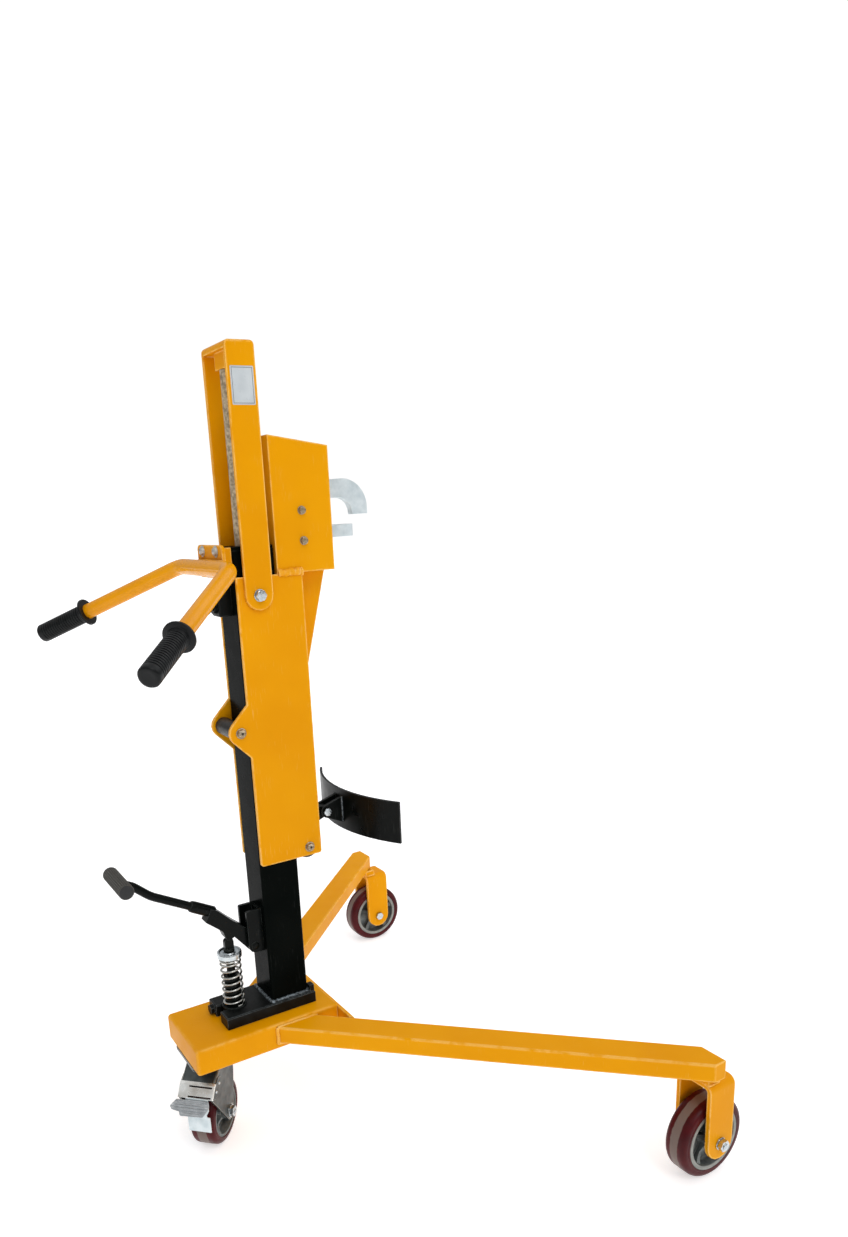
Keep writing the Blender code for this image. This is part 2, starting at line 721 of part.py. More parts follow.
def add_wheel_fork(name, side, base):
    """Flat bar bent over the wheel, round at its ends, with a spacer up to the leg."""
    half_width = TREAD_WIDTH / 2 + FORK_SIDE_GAP + FORK_THICKNESS
    half_length = FORK_LENGTH / 2
    top = LEG_UNDERSIDE - SEAT_GAP - FORK_SPACER
    bottom = WHEEL_RADIUS - half_length
    section = bent_section(half_width, FORK_THICKNESS, bottom, top, FORK_BEND)
    section = [(side * WHEEL_SIDE + u, v) for u, v in section]
    rear = WHEEL_FRONT - half_length
    front = WHEEL_FRONT + half_length
    fork = add_node(name, prism(section, "y", rear, front), YELLOW_PAINT, base)
    axle = (WHEEL_FRONT, WHEEL_RADIUS)
    above = top + CUT_MARGIN
    outline = wrapped((rear, above), axle, half_length - MERGE_DISTANCE, (front, above))
    outline += [Vector((front, above)), Vector((rear, above))]
    reach = half_width + CUT_MARGIN
    sides = (side * WHEEL_SIDE - reach, side * WHEEL_SIDE + reach)
    trim_to(fork, "side", prism(outline, "x", *sides))
    spacer = box(
        [side * WHEEL_SIDE + reach for reach in (-FORK_SPACER_HALF_WIDTH, FORK_SPACER_HALF_WIDTH)],
        (rear + SEAT_GAP, LEG_REACH_FRONT),
        (top - SEAT_GAP, LEG_UNDERSIDE - SEAT_GAP),
    )
    fuse(fork, "spacer", spacer, YELLOW_PAINT)
    cut(fork, "bore", rod(AXLE_RADIUS + BORE_GAP, "x", across(axle), *sides))


def add_wheel_axle(prefix, side, base):
    """Axle bolt with its head on the inner side, and a washered nut on the outer side."""
    centre = (side * WHEEL_SIDE, WHEEL_FRONT, WHEEL_RADIUS)
    fork_face = TREAD_WIDTH / 2 + FORK_SIDE_GAP + FORK_THICKNESS + SEAT_GAP
    nut_start = side * fork_face
    washer_end = side * (fork_face + AXLE_WASHER_THICKNESS)
    nut_end = washer_end + side * AXLE_NUT_HEIGHT
    head_end = -side * (fork_face + AXLE_HEAD_HEIGHT)
    shank = rod(AXLE_RADIUS, "x", centre, head_end / 2, nut_end + side * AXLE_THREAD_END)
    bolt = add_node(f"{prefix}_axle_bolt", shank, ZINC_PLATE, base)
    flats = polygon(centre[1:], AXLE_HEAD_FLATS)
    head = prism(flats, "x", centre[0] + head_end, centre[0] - side * fork_face)
    fuse(bolt, "head", head, ZINC_PLATE)
    neck_ends = (head_end + side * SEAT_GAP, head_end / 2 + side * SEAT_GAP)
    fuse(bolt, "neck", rod(AXLE_RADIUS, "x", centre, *neck_ends), ZINC_PLATE)
    washer = rod(AXLE_WASHER_RADIUS, "x", centre, nut_start, washer_end, ROUND_STEPS)
    nut = add_node(f"{prefix}_axle_nut", washer, ZINC_PLATE, base)
    flats = polygon(centre[1:], AXLE_NUT_FLATS)
    body = prism(flats, "x", centre[0] + washer_end - side * SEAT_GAP, centre[0] + nut_end)
    fuse(nut, "hexagon", body, ZINC_PLATE)
    ends = (nut_start - side * CUT_MARGIN, nut_end + side * CUT_MARGIN)
    cut(nut, "bore", rod(AXLE_RADIUS + BORE_GAP, "x", centre, *ends))


def add_tread(name, centre, radius, thickness, width, shoulder, body):
    half = width / 2
    inner = radius - thickness + BORE_GAP
    corners = [
        (inner, -half, 0.0),
        (radius, -half, shoulder),
        (radius, half, shoulder),
        (inner, half, 0.0),
    ]
    profile = rounded(corners)
    add_node(name, turned(profile, "x", centre, WHEEL_STEPS), MAROON_TREAD, body)


def add_hub(name, centre, radius, width, bore, boss_half, body):
    """Cast wheel centre: a rim, a thin web with spokes, and a boss on the axle."""
    rim_half = width / 2 - HUB_RIM_INSET
    rim_inner = radius - HUB_RIM_THICKNESS
    web = HUB_WEB / 2
    half_profile = [
        (bore, boss_half),
        (HUB_BOSS_RADIUS, boss_half),
        (HUB_BOSS_RADIUS + SEAT_GAP, web),
        (rim_inner - HUB_RIM_INSET, web),
        (rim_inner, rim_half),
        (radius, rim_half),
    ]
    profile = half_profile + [(r, -along) for r, along in reversed(half_profile)]
    hub = add_node(name, turned(profile, "x", centre, WHEEL_STEPS), GREY_CASTING, body)
    spokes = bmesh.new()
    depth = min(SPOKE_DEPTH, 2 * rim_half - HUB_RIM_INSET) / 2
    for spoke in range(SPOKE_COUNT):
        arm = box(
            (-depth, depth),
            (-SPOKE_WIDTH / 2, SPOKE_WIDTH / 2),
            (HUB_BOSS_RADIUS - HUB_RIM_INSET, rim_inner + HUB_RIM_INSET),
        )
        turn = Matrix.Rotation(math.tau * spoke / SPOKE_COUNT, 4, "X")
        bmesh.ops.transform(arm, matrix=Matrix.Translation(centre) @ turn, verts=arm.verts)
        scratch = bpy.data.meshes.new("spoke")
        arm.to_mesh(scratch)
        arm.free()
        spokes.from_mesh(scratch)
        bpy.data.meshes.remove(scratch)
    fuse(hub, "spokes", spokes, GREY_CASTING)


def add_front_wheel(prefix, side, root):
    centre = (side * WHEEL_SIDE, WHEEL_FRONT, WHEEL_RADIUS)
    wheel = add_body(f"{prefix}_wheel_axis", centre, root)
    add_tread(
        f"{prefix}_tread", centre, WHEEL_RADIUS, TREAD_THICKNESS, TREAD_WIDTH,
        TREAD_SHOULDER, wheel,
    )
    boss_half = TREAD_WIDTH / 2 + FORK_SIDE_GAP - SEAT_GAP
    bore = AXLE_RADIUS + BORE_GAP
    hub_radius = WHEEL_RADIUS - TREAD_THICKNESS
    add_hub(f"{prefix}_hub", centre, hub_radius, TREAD_WIDTH, bore, boss_half, wheel)


def add_caster_top_plate(base):
    """Square plate under the beam, with the upper race and the kingpin under it."""
    bottom = CASTER_PLATE_TOP - CASTER_PLATE_THICKNESS
    half_x = CASTER_PLATE_WIDTH / 2
    rear = -CASTER_BACK - CASTER_PLATE_LENGTH / 2
    front = -CASTER_BACK + CASTER_PLATE_LENGTH / 2
    corners = [(-half_x, rear), (half_x, rear), (half_x, front), (-half_x, front)]
    outline = rounded([(*corner, CASTER_PLATE_CORNER) for corner in corners])
    shape = prism(outline, "z", bottom, CASTER_PLATE_TOP)
    plate = add_node("caster_top_plate", shape, FORK_STEEL, base)
    race_bottom = bottom - RACE_HEIGHT
    nut_top = FORK_CROWN_TOP - CASTER_FORK_THICKNESS - SEAT_GAP
    profile = [
        (0.0, nut_top - KINGPIN_NUT_HEIGHT),
        (KINGPIN_NUT_RADIUS, nut_top - KINGPIN_NUT_HEIGHT),
        (KINGPIN_NUT_RADIUS, nut_top),
        (KINGPIN_RADIUS, nut_top),
        (KINGPIN_RADIUS, race_bottom),
        (RACE_RADIUS - RACE_LIP, race_bottom),
        (RACE_RADIUS, race_bottom + RACE_LIP),
        (RACE_RADIUS, bottom + SEAT_GAP),
        (0.0, bottom + SEAT_GAP),
    ]
    fuse(plate, "race", turned(profile, "z", (0.0, -CASTER_BACK, 0.0)), FORK_STEEL)


def caster_side_outline():
    """Side of the castor's fork: wide under the crown, narrowing to the axle's boss."""
    top = FORK_CROWN_TOP + CUT_MARGIN
    lead = (CASTER_FORK_HALF_LENGTH, FORK_CROWN_TOP - CASTER_SHOULDER_DROP)
    trail = (-CASTER_REAR_REACH, FORK_CROWN_TOP - CASTER_REAR_DROP)
    axle = (CASTER_TRAIL, CASTER_RADIUS)
    outline = [Vector((CASTER_FORK_HALF_LENGTH, top)), Vector((-CASTER_FORK_HALF_LENGTH, top))]
    outline.append(Vector((-CASTER_FORK_HALF_LENGTH, FORK_CROWN_TOP - CASTER_FORK_BEND)))
    outline.append(Vector(trail))
    outline += wrapped(trail, axle, CASTER_BOSS_RADIUS, lead)
    outline.append(Vector(lead))
    return outline


def caster_fork_half():
    """Half the outer width of the castor's fork."""
    return CASTER_TREAD_WIDTH / 2 + CASTER_FORK_SIDE_GAP + CASTER_FORK_THICKNESS


def add_caster_fork(swivel):
    """Pressed fork: crown with its bearing cup, and two sides down to the axle."""
    half = caster_fork_half()
    section = bent_section(
        half, CASTER_FORK_THICKNESS, CASTER_RADIUS - CASTER_BOSS_RADIUS, FORK_CROWN_TOP,
        CASTER_FORK_BEND,
    )
    reach = CASTER_REAR_REACH + CUT_MARGIN
    fork = add_node("caster_fork", prism(section, "y", -reach, reach), FORK_STEEL, swivel)
    trim_to(fork, "side", prism(caster_side_outline(), "x", -reach, reach))
    cup_top = FORK_CROWN_TOP + CUP_HEIGHT
    cup_foot = CUP_RADIUS - CUP_HEIGHT / 2
    profile = [
        (0.0, FORK_CROWN_TOP - SEAT_GAP),
        (cup_foot, FORK_CROWN_TOP - SEAT_GAP),
        (CUP_RADIUS - CUP_HEIGHT, cup_top),
        (0.0, cup_top),
    ]
    fuse(fork, "cup", turned(profile, "z", (0.0, 0.0, 0.0)), FORK_STEEL)
    below = FORK_CROWN_TOP - CASTER_FORK_THICKNESS - CUT_MARGIN
    kingpin = rod(KINGPIN_RADIUS + BORE_GAP, "z", (0.0, 0.0, 0.0), below, cup_top + CUT_MARGIN)
    cut(fork, "kingpin_bore", kingpin)
    axle = (0.0, CASTER_TRAIL, CASTER_RADIUS)
    cut(fork, "axle_bore", rod(CASTER_AXLE_RADIUS + BORE_GAP, "x", axle, -reach, reach))


def add_brake_bridge(swivel):
    """Pressed bridge between the fork's sides, slotted, with a tongue in front of the tread."""
    edge = Vector(BRIDGE_EDGE)
    top = Vector(BRIDGE_TOP)
    foot = Vector(BRIDGE_FOOT)
    inside = Vector((BRIDGE_THICKNESS, -BRIDGE_THICKNESS / 2))
    outline = [top, edge, foot, foot + inside, edge + inside, top + inside]
    half = caster_fork_half()
    bridge = add_node("caster_brake_bridge", prism(outline, "x", -half, half), ZINC_PLATE, swivel)
    notch = half - CASTER_FORK_THICKNESS - SEAT_GAP
    outline = caster_side_outline()
    middle = sum(outline, Vector((0.0, 0.0))) / len(outline)
    grown = [middle + (point - middle) * (1 + BRIDGE_FORK_GAP) for point in outline]
    for label, start, stop in (
        ("right_side", notch, half + CUT_MARGIN),
        ("left_side", -half - CUT_MARGIN, -notch),
    ):
        cut(bridge, label, prism(grown, "x", start, stop))
    slope = (foot - edge).normalized()
    for label, centre in (
        ("upper_slot", edge + slope * SLOT_INSET),
        ("lower_slot", foot - slope * SLOT_INSET),
    ):
        across_slot = Vector((-slope.y, slope.x)) * CUT_MARGIN
        along_slot = slope * SLOT_WIDTH / 2
        corners = [
            centre - across_slot - along_slot,
            centre - across_slot + along_slot,
            centre + across_slot + along_slot,
            centre + across_slot - along_slot,
        ]
        ends = (SLOT_SIDE - SLOT_LENGTH / 2, SLOT_SIDE + SLOT_LENGTH / 2)
        cut(bridge, label, prism(corners, "x", *ends))
    tongue_top = foot + Vector((0.0, SLOT_WIDTH / 2))
    tongue = [
        tongue_top + Vector((TONGUE_THICKNESS, 0.0)),
        tongue_top,
        foot + Vector((-TONGUE_THICKNESS - SEAT_GAP, -BRIDGE_THICKNESS)),
        foot + Vector((-TONGUE_THICKNESS - SEAT_GAP, -TONGUE_LENGTH)),
        foot + Vector((-SEAT_GAP, -TONGUE_LENGTH)),
        foot + Vector((-SEAT_GAP, -BRIDGE_THICKNESS)),
    ]
    shape = prism(tongue, "x", -TONGUE_HALF_WIDTH, TONGUE_HALF_WIDTH)
    fuse(bridge, "tongue", shape, ZINC_PLATE)


def add_brake_pedal(swivel):
    """Ribbed foot plate hinged under the bridge, wide at its root and narrow at its toe."""
    foot = Vector(BRIDGE_FOOT)
    knuckle_gap = TONGUE_THICKNESS + 2 * SEAT_GAP
    below = BRIDGE_THICKNESS + BRAKE_KNUCKLE_RADIUS
    pivot = (0.0, foot.x - knuckle_gap - BRAKE_KNUCKLE_RADIUS, foot.y - below)
    brake = add_body("caster_brake_axis", pivot, swivel)
    ridge = BRAKE_PEDAL_LENGTH / BRAKE_RIB_COUNT
    section = [(0.0, 0.0), (-BRAKE_PEDAL_LENGTH, 0.0)]
    for rib in range(BRAKE_RIB_COUNT):
        start = -BRAKE_PEDAL_LENGTH + rib * ridge
        section.append((start, BRAKE_PEDAL_THICKNESS))
        section.append((start + ridge / 3, BRAKE_PEDAL_THICKNESS + BRAKE_RIB_HEIGHT))
        section.append((start + ridge * 2 / 3, BRAKE_PEDAL_THICKNESS))
    section.append((0.0, BRAKE_PEDAL_THICKNESS))
    tilt = Matrix.Translation(pivot) @ Matrix.Rotation(BRAKE_PEDAL_SLOPE, 4, "X")
    half = BRAKE_PEDAL_HALF_WIDTH
    plate = prism(section, "x", -half, half)
    bmesh.ops.transform(plate, matrix=tilt, verts=plate.verts)
    pedal = add_node("caster_brake_pedal", plate, LIGHT_GREY, brake)
    toe = BRAKE_TOE_LENGTH - BRAKE_PEDAL_LENGTH
    plan = [
        (-half + SLOT_WIDTH, CUT_MARGIN, 0.0),
        (-half, toe * BRAKE_WING_SHARE, BRAKE_WING_CORNER),
        (-BRAKE_TOE_HALF_WIDTH, toe, BRAKE_TOE_CORNER),
        (-BRAKE_TOE_HALF_WIDTH, -BRAKE_PEDAL_LENGTH, BRAKE_WING_CORNER),
        (BRAKE_TOE_HALF_WIDTH, -BRAKE_PEDAL_LENGTH, BRAKE_WING_CORNER),
        (BRAKE_TOE_HALF_WIDTH, toe, BRAKE_TOE_CORNER),
        (half, toe * BRAKE_WING_SHARE, BRAKE_WING_CORNER),
        (half - SLOT_WIDTH, CUT_MARGIN, 0.0),
    ]
    wing = prism(rounded(plan), "z", -CUT_MARGIN, CUT_MARGIN * 2)
    bmesh.ops.transform(wing, matrix=tilt, verts=wing.verts)
    trim_to(pedal, "wing", wing)
    knuckle = rod(
        BRAKE_KNUCKLE_RADIUS, "x", pivot, -TONGUE_HALF_WIDTH, TONGUE_HALF_WIDTH
    )
    fuse(pedal, "knuckle", knuckle, LIGHT_GREY)


def add_caster(root):
    """Swivel castor on a vertical axis, turned as a parked truck leaves it."""
    swivel = add_body("caster_swivel_axis", (0.0, -CASTER_BACK, 0.0), root, CASTER_TURN)
    add_caster_fork(swivel)
    add_brake_bridge(swivel)
    add_brake_pedal(swivel)
    centre = (0.0, CASTER_TRAIL, CASTER_RADIUS)
    half = caster_fork_half()
    bolt_end = half + SEAT_GAP + CASTER_BOLT_HEIGHT
    shank = rod(CASTER_AXLE_RADIUS, "x", centre, -bolt_end + SEAT_GAP, bolt_end + SEAT_GAP)
    bolt = add_node("caster_axle_bolt", shank, ZINC_PLATE, swivel)
    flats = polygon(centre[1:], CASTER_BOLT_FLATS)
    fuse(bolt, "head", prism(flats, "x", -bolt_end, -half - SEAT_GAP), ZINC_PLATE)
    fuse(bolt, "nut", prism(flats, "x", half + SEAT_GAP, bolt_end), ZINC_PLATE)
    wheel = add_body("caster_wheel_axis", centre, swivel)
    add_tread(
        "caster_tread", centre, CASTER_RADIUS, CASTER_TREAD_THICKNESS, CASTER_TREAD_WIDTH,
        CASTER_TREAD_SHOULDER, wheel,
    )
    add_hub(
        "caster_hub", centre, CASTER_RADIUS - CASTER_TREAD_THICKNESS, CASTER_TREAD_WIDTH,
        CASTER_AXLE_RADIUS + BORE_GAP, half - CASTER_FORK_THICKNESS - SEAT_GAP, wheel,
    )


def add_pump_block(base):
    """Cast block under the mast and the pump, with an oil plug and a notch at its rear."""
    half = BLOCK_HALF_WIDTH
    notch = BLOCK_NOTCH_WIDTH / 2
    rear = -BLOCK_REAR
    outline = [
        (-half, rear), (-notch, rear), (-notch, rear + BLOCK_NOTCH_DEPTH),
        (notch, rear + BLOCK_NOTCH_DEPTH), (notch, rear), (half, rear),
        (half, BLOCK_FRONT), (-half, BLOCK_FRONT),
    ]
    shape = prism(outline, "z", BLOCK_BOTTOM, BLOCK_TOP)
    shape = bevelled(
        shape, BLOCK_CHAMFER, 1,
        lambda edge: all(vert.co.z > BLOCK_TOP - MERGE_DISTANCE for vert in edge.verts),
    )
    block = add_node("pump_block", shape, BLACK_PAINT, base)
    middle = (BLOCK_PLUG_SIDE, (BLOCK_BOTTOM + BLOCK_TOP) / 2)
    flats = polygon(middle, BLOCK_PLUG_FLATS)
    plug = prism(flats, "y", rear - BLOCK_PLUG_LENGTH, rear + CUT_MARGIN)
    fuse(block, "plug", plug, BLACK_PAINT)
    lug = box(
        (half - BLOCK_LUG_WIDTH - BLOCK_CHAMFER, half - BLOCK_CHAMFER),
        (BLOCK_FRONT - BLOCK_LUG_LENGTH - BLOCK_CHAMFER / 2, BLOCK_FRONT - BLOCK_CHAMFER / 2),
        (BLOCK_TOP - CUT_MARGIN, BLOCK_TOP + BLOCK_LUG_HEIGHT),
    )
    fuse(block, "lug", lug, BLACK_PAINT)


def square(half, corner):
    sides = [(-half, -half), (half, -half), (half, half), (-half, half)]
    return rounded([(*side, corner) for side in sides])


def add_mast(base):
    """Square tube with a gland on top, and the lift cylinder standing inside."""
    centre = (0.0, 0.0, 0.0)
    outer = square(MAST_HALF, MAST_CORNER)
    mast = add_node("mast_tube", prism(outer, "z", MAST_FOOT, MAST_TOP), BLACK_PAINT, base)
    inside = square(MAST_HALF - MAST_WALL, MAST_CORNER / 2)
    cut(mast, "hollow", prism(inside, "z", MAST_FOOT - CUT_MARGIN, MAST_TOP + CUT_MARGIN))
    gland_bottom = MAST_TOP + SEAT_GAP
    flange = square(MAST_HALF - SEAT_GAP, MAST_CORNER)
    shape = prism(flange, "z", gland_bottom, gland_bottom + GLAND_HEIGHT)
    gland = add_node("mast_gland", shape, BLACK_PAINT, base)
    spigot_bottom = gland_bottom - GLAND_SPIGOT_LENGTH
    ends = (spigot_bottom, gland_bottom + SEAT_GAP)
    spigot = rod(GLAND_SPIGOT_RADIUS, "z", centre, *ends, ROUND_STEPS)
    fuse(gland, "spigot", spigot, BLACK_PAINT)
    ends = (spigot_bottom - CUT_MARGIN, gland_bottom + GLAND_HEIGHT + CUT_MARGIN)
    cut(gland, "bore", rod(ROD_RADIUS + BORE_GAP, "z", centre, *ends, ROUND_STEPS))
    cylinder_top = spigot_bottom - SEAT_GAP
    profile = [
        (0.0, MAST_FOOT),
        (CYLINDER_RADIUS, MAST_FOOT),
        (CYLINDER_RADIUS, cylinder_top),
        (CYLINDER_BORE, cylinder_top),
        (CYLINDER_BORE, MAST_FOOT + CYLINDER_FLOOR),
        (0.0, MAST_FOOT + CYLINDER_FLOOR),
    ]
    add_node("lift_cylinder", turned(profile, "z", centre), BRIGHT_STEEL, base)


def add_pump(base, root):
    """Pump barrel on the block, with the piston, the spring's cap and the spring."""
    centre = (0.0, -PUMP_BACK, 0.0)
    top = MAST_FOOT + PUMP_BARREL_HEIGHT
    bore = PUMP_PISTON_RADIUS + BORE_GAP
    profile = [
        (0.0, MAST_FOOT),
        (PUMP_BARREL_RADIUS, MAST_FOOT),
        (PUMP_BARREL_RADIUS, top),
        (bore, top),
        (bore, MAST_FOOT + PUMP_BARREL_FLOOR),
        (0.0, MAST_FOOT + PUMP_BARREL_FLOOR),
    ]
    add_node("pump_barrel", turned(profile, "z", centre), BLACK_PAINT, base)
    pump = add_body("pump_axis", centre, root)
    collar = CAP_TOP + SEAT_GAP
    profile = [
        (0.0, PUMP_PISTON_TOP - PUMP_PISTON_LENGTH),
        (PUMP_PISTON_RADIUS, PUMP_PISTON_TOP - PUMP_PISTON_LENGTH),
        (PUMP_PISTON_RADIUS, collar),
        (COLLAR_RADIUS, collar),
        (COLLAR_RADIUS, collar + COLLAR_HEIGHT),
        (PUMP_PISTON_RADIUS, collar + COLLAR_HEIGHT),
        (PUMP_PISTON_RADIUS, PUMP_PISTON_TOP - PUMP_PISTON_RADIUS / 4),
        (PUMP_PISTON_RADIUS / 2, PUMP_PISTON_TOP),
        (0.0, PUMP_PISTON_TOP),
    ]
    shape = turned(profile, "z", centre, SMALL_ROUND_STEPS)
    add_node("pump_piston", shape, BLACK_PAINT, pump)
    cap_bottom = CAP_TOP - CAP_HEIGHT
    profile = [
        (bore, cap_bottom),
        (CAP_RADIUS - CAP_LIP / 2, cap_bottom),
        (CAP_RADIUS, cap_bottom + CAP_LIP / 2),
        (CAP_RADIUS, CAP_TOP - CAP_LIP),
        (CAP_RADIUS - CAP_LIP, CAP_TOP - CAP_LIP / 2),
        (bore + CAP_LIP, CAP_TOP - CAP_LIP / 2),
        (bore + CAP_LIP / 2, CAP_TOP),
        (bore, CAP_TOP),
    ]
    add_node("spring_cap", turned(profile, "z", centre), ZINC_PLATE, pump)
    low = MAST_FOOT + SPRING_WIRE_RADIUS
    high = cap_bottom - SEAT_GAP - SPRING_WIRE_RADIUS
    steps = SPRING_COILS * SPRING_STEPS_PER_COIL
    path = []
    for step in range(steps + 1):
        angle = math.tau * step / SPRING_STEPS_PER_COIL
        height = low + (high - low) * step / steps
        x = SPRING_RADIUS * math.cos(angle)
        y = SPRING_RADIUS * math.sin(angle) - PUMP_BACK
        path.append((x, y, height))
    add_node("pump_spring", round_bar(path, SPRING_WIRE_RADIUS, 1), BRIGHT_STEEL, base)


def add_pedal_bracket(base):
    """Clevis welded to the mast's rear face, with the pedal's pin through its lugs."""
    seat = MAST_REAR_SEAT
    reach = -PEDAL_BRACKET_REACH
    pivot = Vector(PEDAL_PIVOT)
    low = pivot.y - PEDAL_LUG_RADIUS
    outer = PEDAL_CHEEK_INNER + PEDAL_CHEEK_THICKNESS
    corners = [
        (reach, PEDAL_BRACKET_TOP, PEDAL_BRACKET_CORNER),
        (reach, low, PEDAL_LUG_RADIUS),
        (seat, low, 0.0),
        (seat, PEDAL_BRACKET_TOP, 0.0),
    ]
    shape = prism(rounded(corners), "x", -outer, outer)
    bracket = add_node("pedal_bracket", shape, BLACK_PAINT, base)
    slot = box(
        (-PEDAL_CHEEK_INNER, PEDAL_CHEEK_INNER),
        (reach - CUT_MARGIN, seat - PEDAL_BRACKET_PLATE),
        (low - CUT_MARGIN, PEDAL_BRACKET_TOP + CUT_MARGIN),
    )
    cut(bracket, "slot", slot)
    centre = across(PEDAL_PIVOT)
    through = outer + CUT_MARGIN
    cut(bracket, "bore", rod(PEDAL_PIN_RADIUS + BORE_GAP, "x", centre, -through, through))
    face = outer + SEAT_GAP
    end = face + PEDAL_PIN_HEAD
    profile = [
        (0.0, -end), (PEDAL_PIN_HEAD_RADIUS, -end), (PEDAL_PIN_HEAD_RADIUS, -face),
        (PEDAL_PIN_RADIUS, -face), (PEDAL_PIN_RADIUS, face), (PEDAL_PIN_HEAD_RADIUS, face),
        (PEDAL_PIN_HEAD_RADIUS, end), (0.0, end),
    ]
    add_node("pedal_pin", turned(profile, "x", centre, BOLT_STEPS), BLACK_PAINT, base)


def add_pedal(root):
    """Lever with a nose over the piston, a socket for the bent bar, and a ribbed pad."""
    pedal = add_body("pedal_axis", across(PEDAL_PIVOT), root)
    nose = (-PUMP_BACK, PUMP_PISTON_TOP + SEAT_GAP + LEVER_NOSE_RADIUS)
    outline = [Vector(LEVER_TOP_FRONT), Vector(LEVER_TOP_REAR), Vector(LEVER_FOOT_REAR)]
    outline.append(Vector(LEVER_FOOT_FRONT))
    relief = (LEVER_RELIEF - PUMP_BACK, nose[1] - LEVER_NOSE_RADIUS / 2)
    outline += wrapped(LEVER_FOOT_FRONT, nose, LEVER_NOSE_RADIUS, relief)
    outline.append(Vector(relief))
    outline += wrapped(relief, PEDAL_PIVOT, LEVER_HUB_RADIUS, LEVER_TOP_FRONT)
    shape = prism(outline, "x", -LEVER_HALF_WIDTH, LEVER_HALF_WIDTH)
    lever = add_node("pedal_lever", shape, BLACK_PAINT, pedal)
    root_place = Vector(across(PEDAL_BAR_ROOT))
    knee = Vector(across(PEDAL_BAR_KNEE))
    socket_end = root_place + (knee - root_place).normalized() * SOCKET_LENGTH
    fuse(lever, "socket", round_bar([root_place, socket_end], SOCKET_RADIUS), BLACK_PAINT)
    corners = [
        (*root_place, 0.0),
        (*knee, PEDAL_BAR_BEND),
        (*across(PEDAL_BAR_CROOK), PEDAL_BAR_BEND / 2),
        (*across(PAD_CENTRE), 0.0),
    ]
    path = rounded(corners, closed=False)
    fuse(lever, "bar", round_bar(path, PEDAL_BAR_RADIUS), BLACK_PAINT)
    half = PAD_HALF_LENGTH - PAD_END_WALL
    centre = across(PAD_CENTRE)
    fuse(lever, "cross_rod", rod(PAD_ROD_RADIUS, "x", centre, -half, half), BLACK_PAINT)
    sides = LEVER_HALF_WIDTH + CUT_MARGIN
    bore = rod(PEDAL_PIN_RADIUS + BORE_GAP, "x", across(PEDAL_PIVOT), -sides, sides)
    cut(lever, "bore", bore)
    ribs = []
    for step in range(2 * PAD_RIB_COUNT):
        angle = math.tau * step / (2 * PAD_RIB_COUNT)
        radius = PAD_RADIUS - PAD_RIB_DEPTH * (step % 2)
        spot = Vector((math.cos(angle), math.sin(angle))) * radius
        ribs.append(Vector(PAD_CENTRE) + spot)
    shape = prism(ribs, "x", -PAD_HALF_LENGTH, PAD_HALF_LENGTH)
    pad = add_node("pedal_pad", shape, BLACK_RUBBER, pedal)
    hollow = rod(PAD_ROD_RADIUS + BORE_GAP, "x", centre, -half - BORE_GAP, half + BORE_GAP)
    cut(pad, "rod_bore", hollow)
    cut(pad, "bar_bore", round_bar(path, PEDAL_BAR_RADIUS + BORE_GAP))


def handle_path(trim):
    """Route of the handle's tube; the trim lengthens or shortens both arms."""
    corner = Vector((HANDLE_CORNER, -HANDLE_BACK, HANDLE_HEIGHT))
    end = corner + ARM_DIRECTION * (HANDLE_ARM + trim)
    right = [(*end, 0.0), (*corner, HANDLE_BEND)]
    left = [(-x, y, z, radius) for x, y, z, radius in reversed(right)]
    return rounded(right + left, closed=False)


def add_handle(base):
    """Bent tube welded to a plate, which a channel holds off the mast."""
    plate_rear = -HANDLE_BACK + HANDLE_TUBE_RADIUS - HANDLE_PLATE_SINK
    plate_front = plate_rear + HANDLE_PLATE_THICKNESS
    channel_rear = plate_front + SEAT_GAP
    half = HANDLE_CHANNEL_HALF_WIDTH
    inner = half - HANDLE_CHANNEL_WALL
    web = channel_rear + HANDLE_CHANNEL_WALL
    outline = [
        (-half, channel_rear), (half, channel_rear), (half, MAST_REAR_SEAT),
        (inner, MAST_REAR_SEAT), (inner, web), (-inner, web),
        (-inner, MAST_REAR_SEAT), (-half, MAST_REAR_SEAT),
    ]
    low = HANDLE_PLATE_BOTTOM
    channel = prism(outline, "z", low, HANDLE_PLATE_TOP - HANDLE_CHANNEL_WALL)
    add_node("handle_bracket", channel, YELLOW_PAINT, base)
    handle = add_node(
        "handle_bar", round_bar(handle_path(0.0), HANDLE_TUBE_RADIUS), YELLOW_PAINT, base
    )
    side = HANDLE_PLATE_HALF_WIDTH
    corners = [(-side, low), (side, low), (side, HANDLE_PLATE_TOP), (-side, HANDLE_PLATE_TOP)]
    plate = rounded([(*corner, HANDLE_PLATE_CORNER) for corner in corners])
    fuse(handle, "plate", prism(plate, "y", plate_rear, plate_front), YELLOW_PAINT)
    hollow = round_bar(handle_path(CUT_MARGIN), HANDLE_TUBE_RADIUS - HANDLE_TUBE_WALL)
    cut(handle, "hollow", hollow)


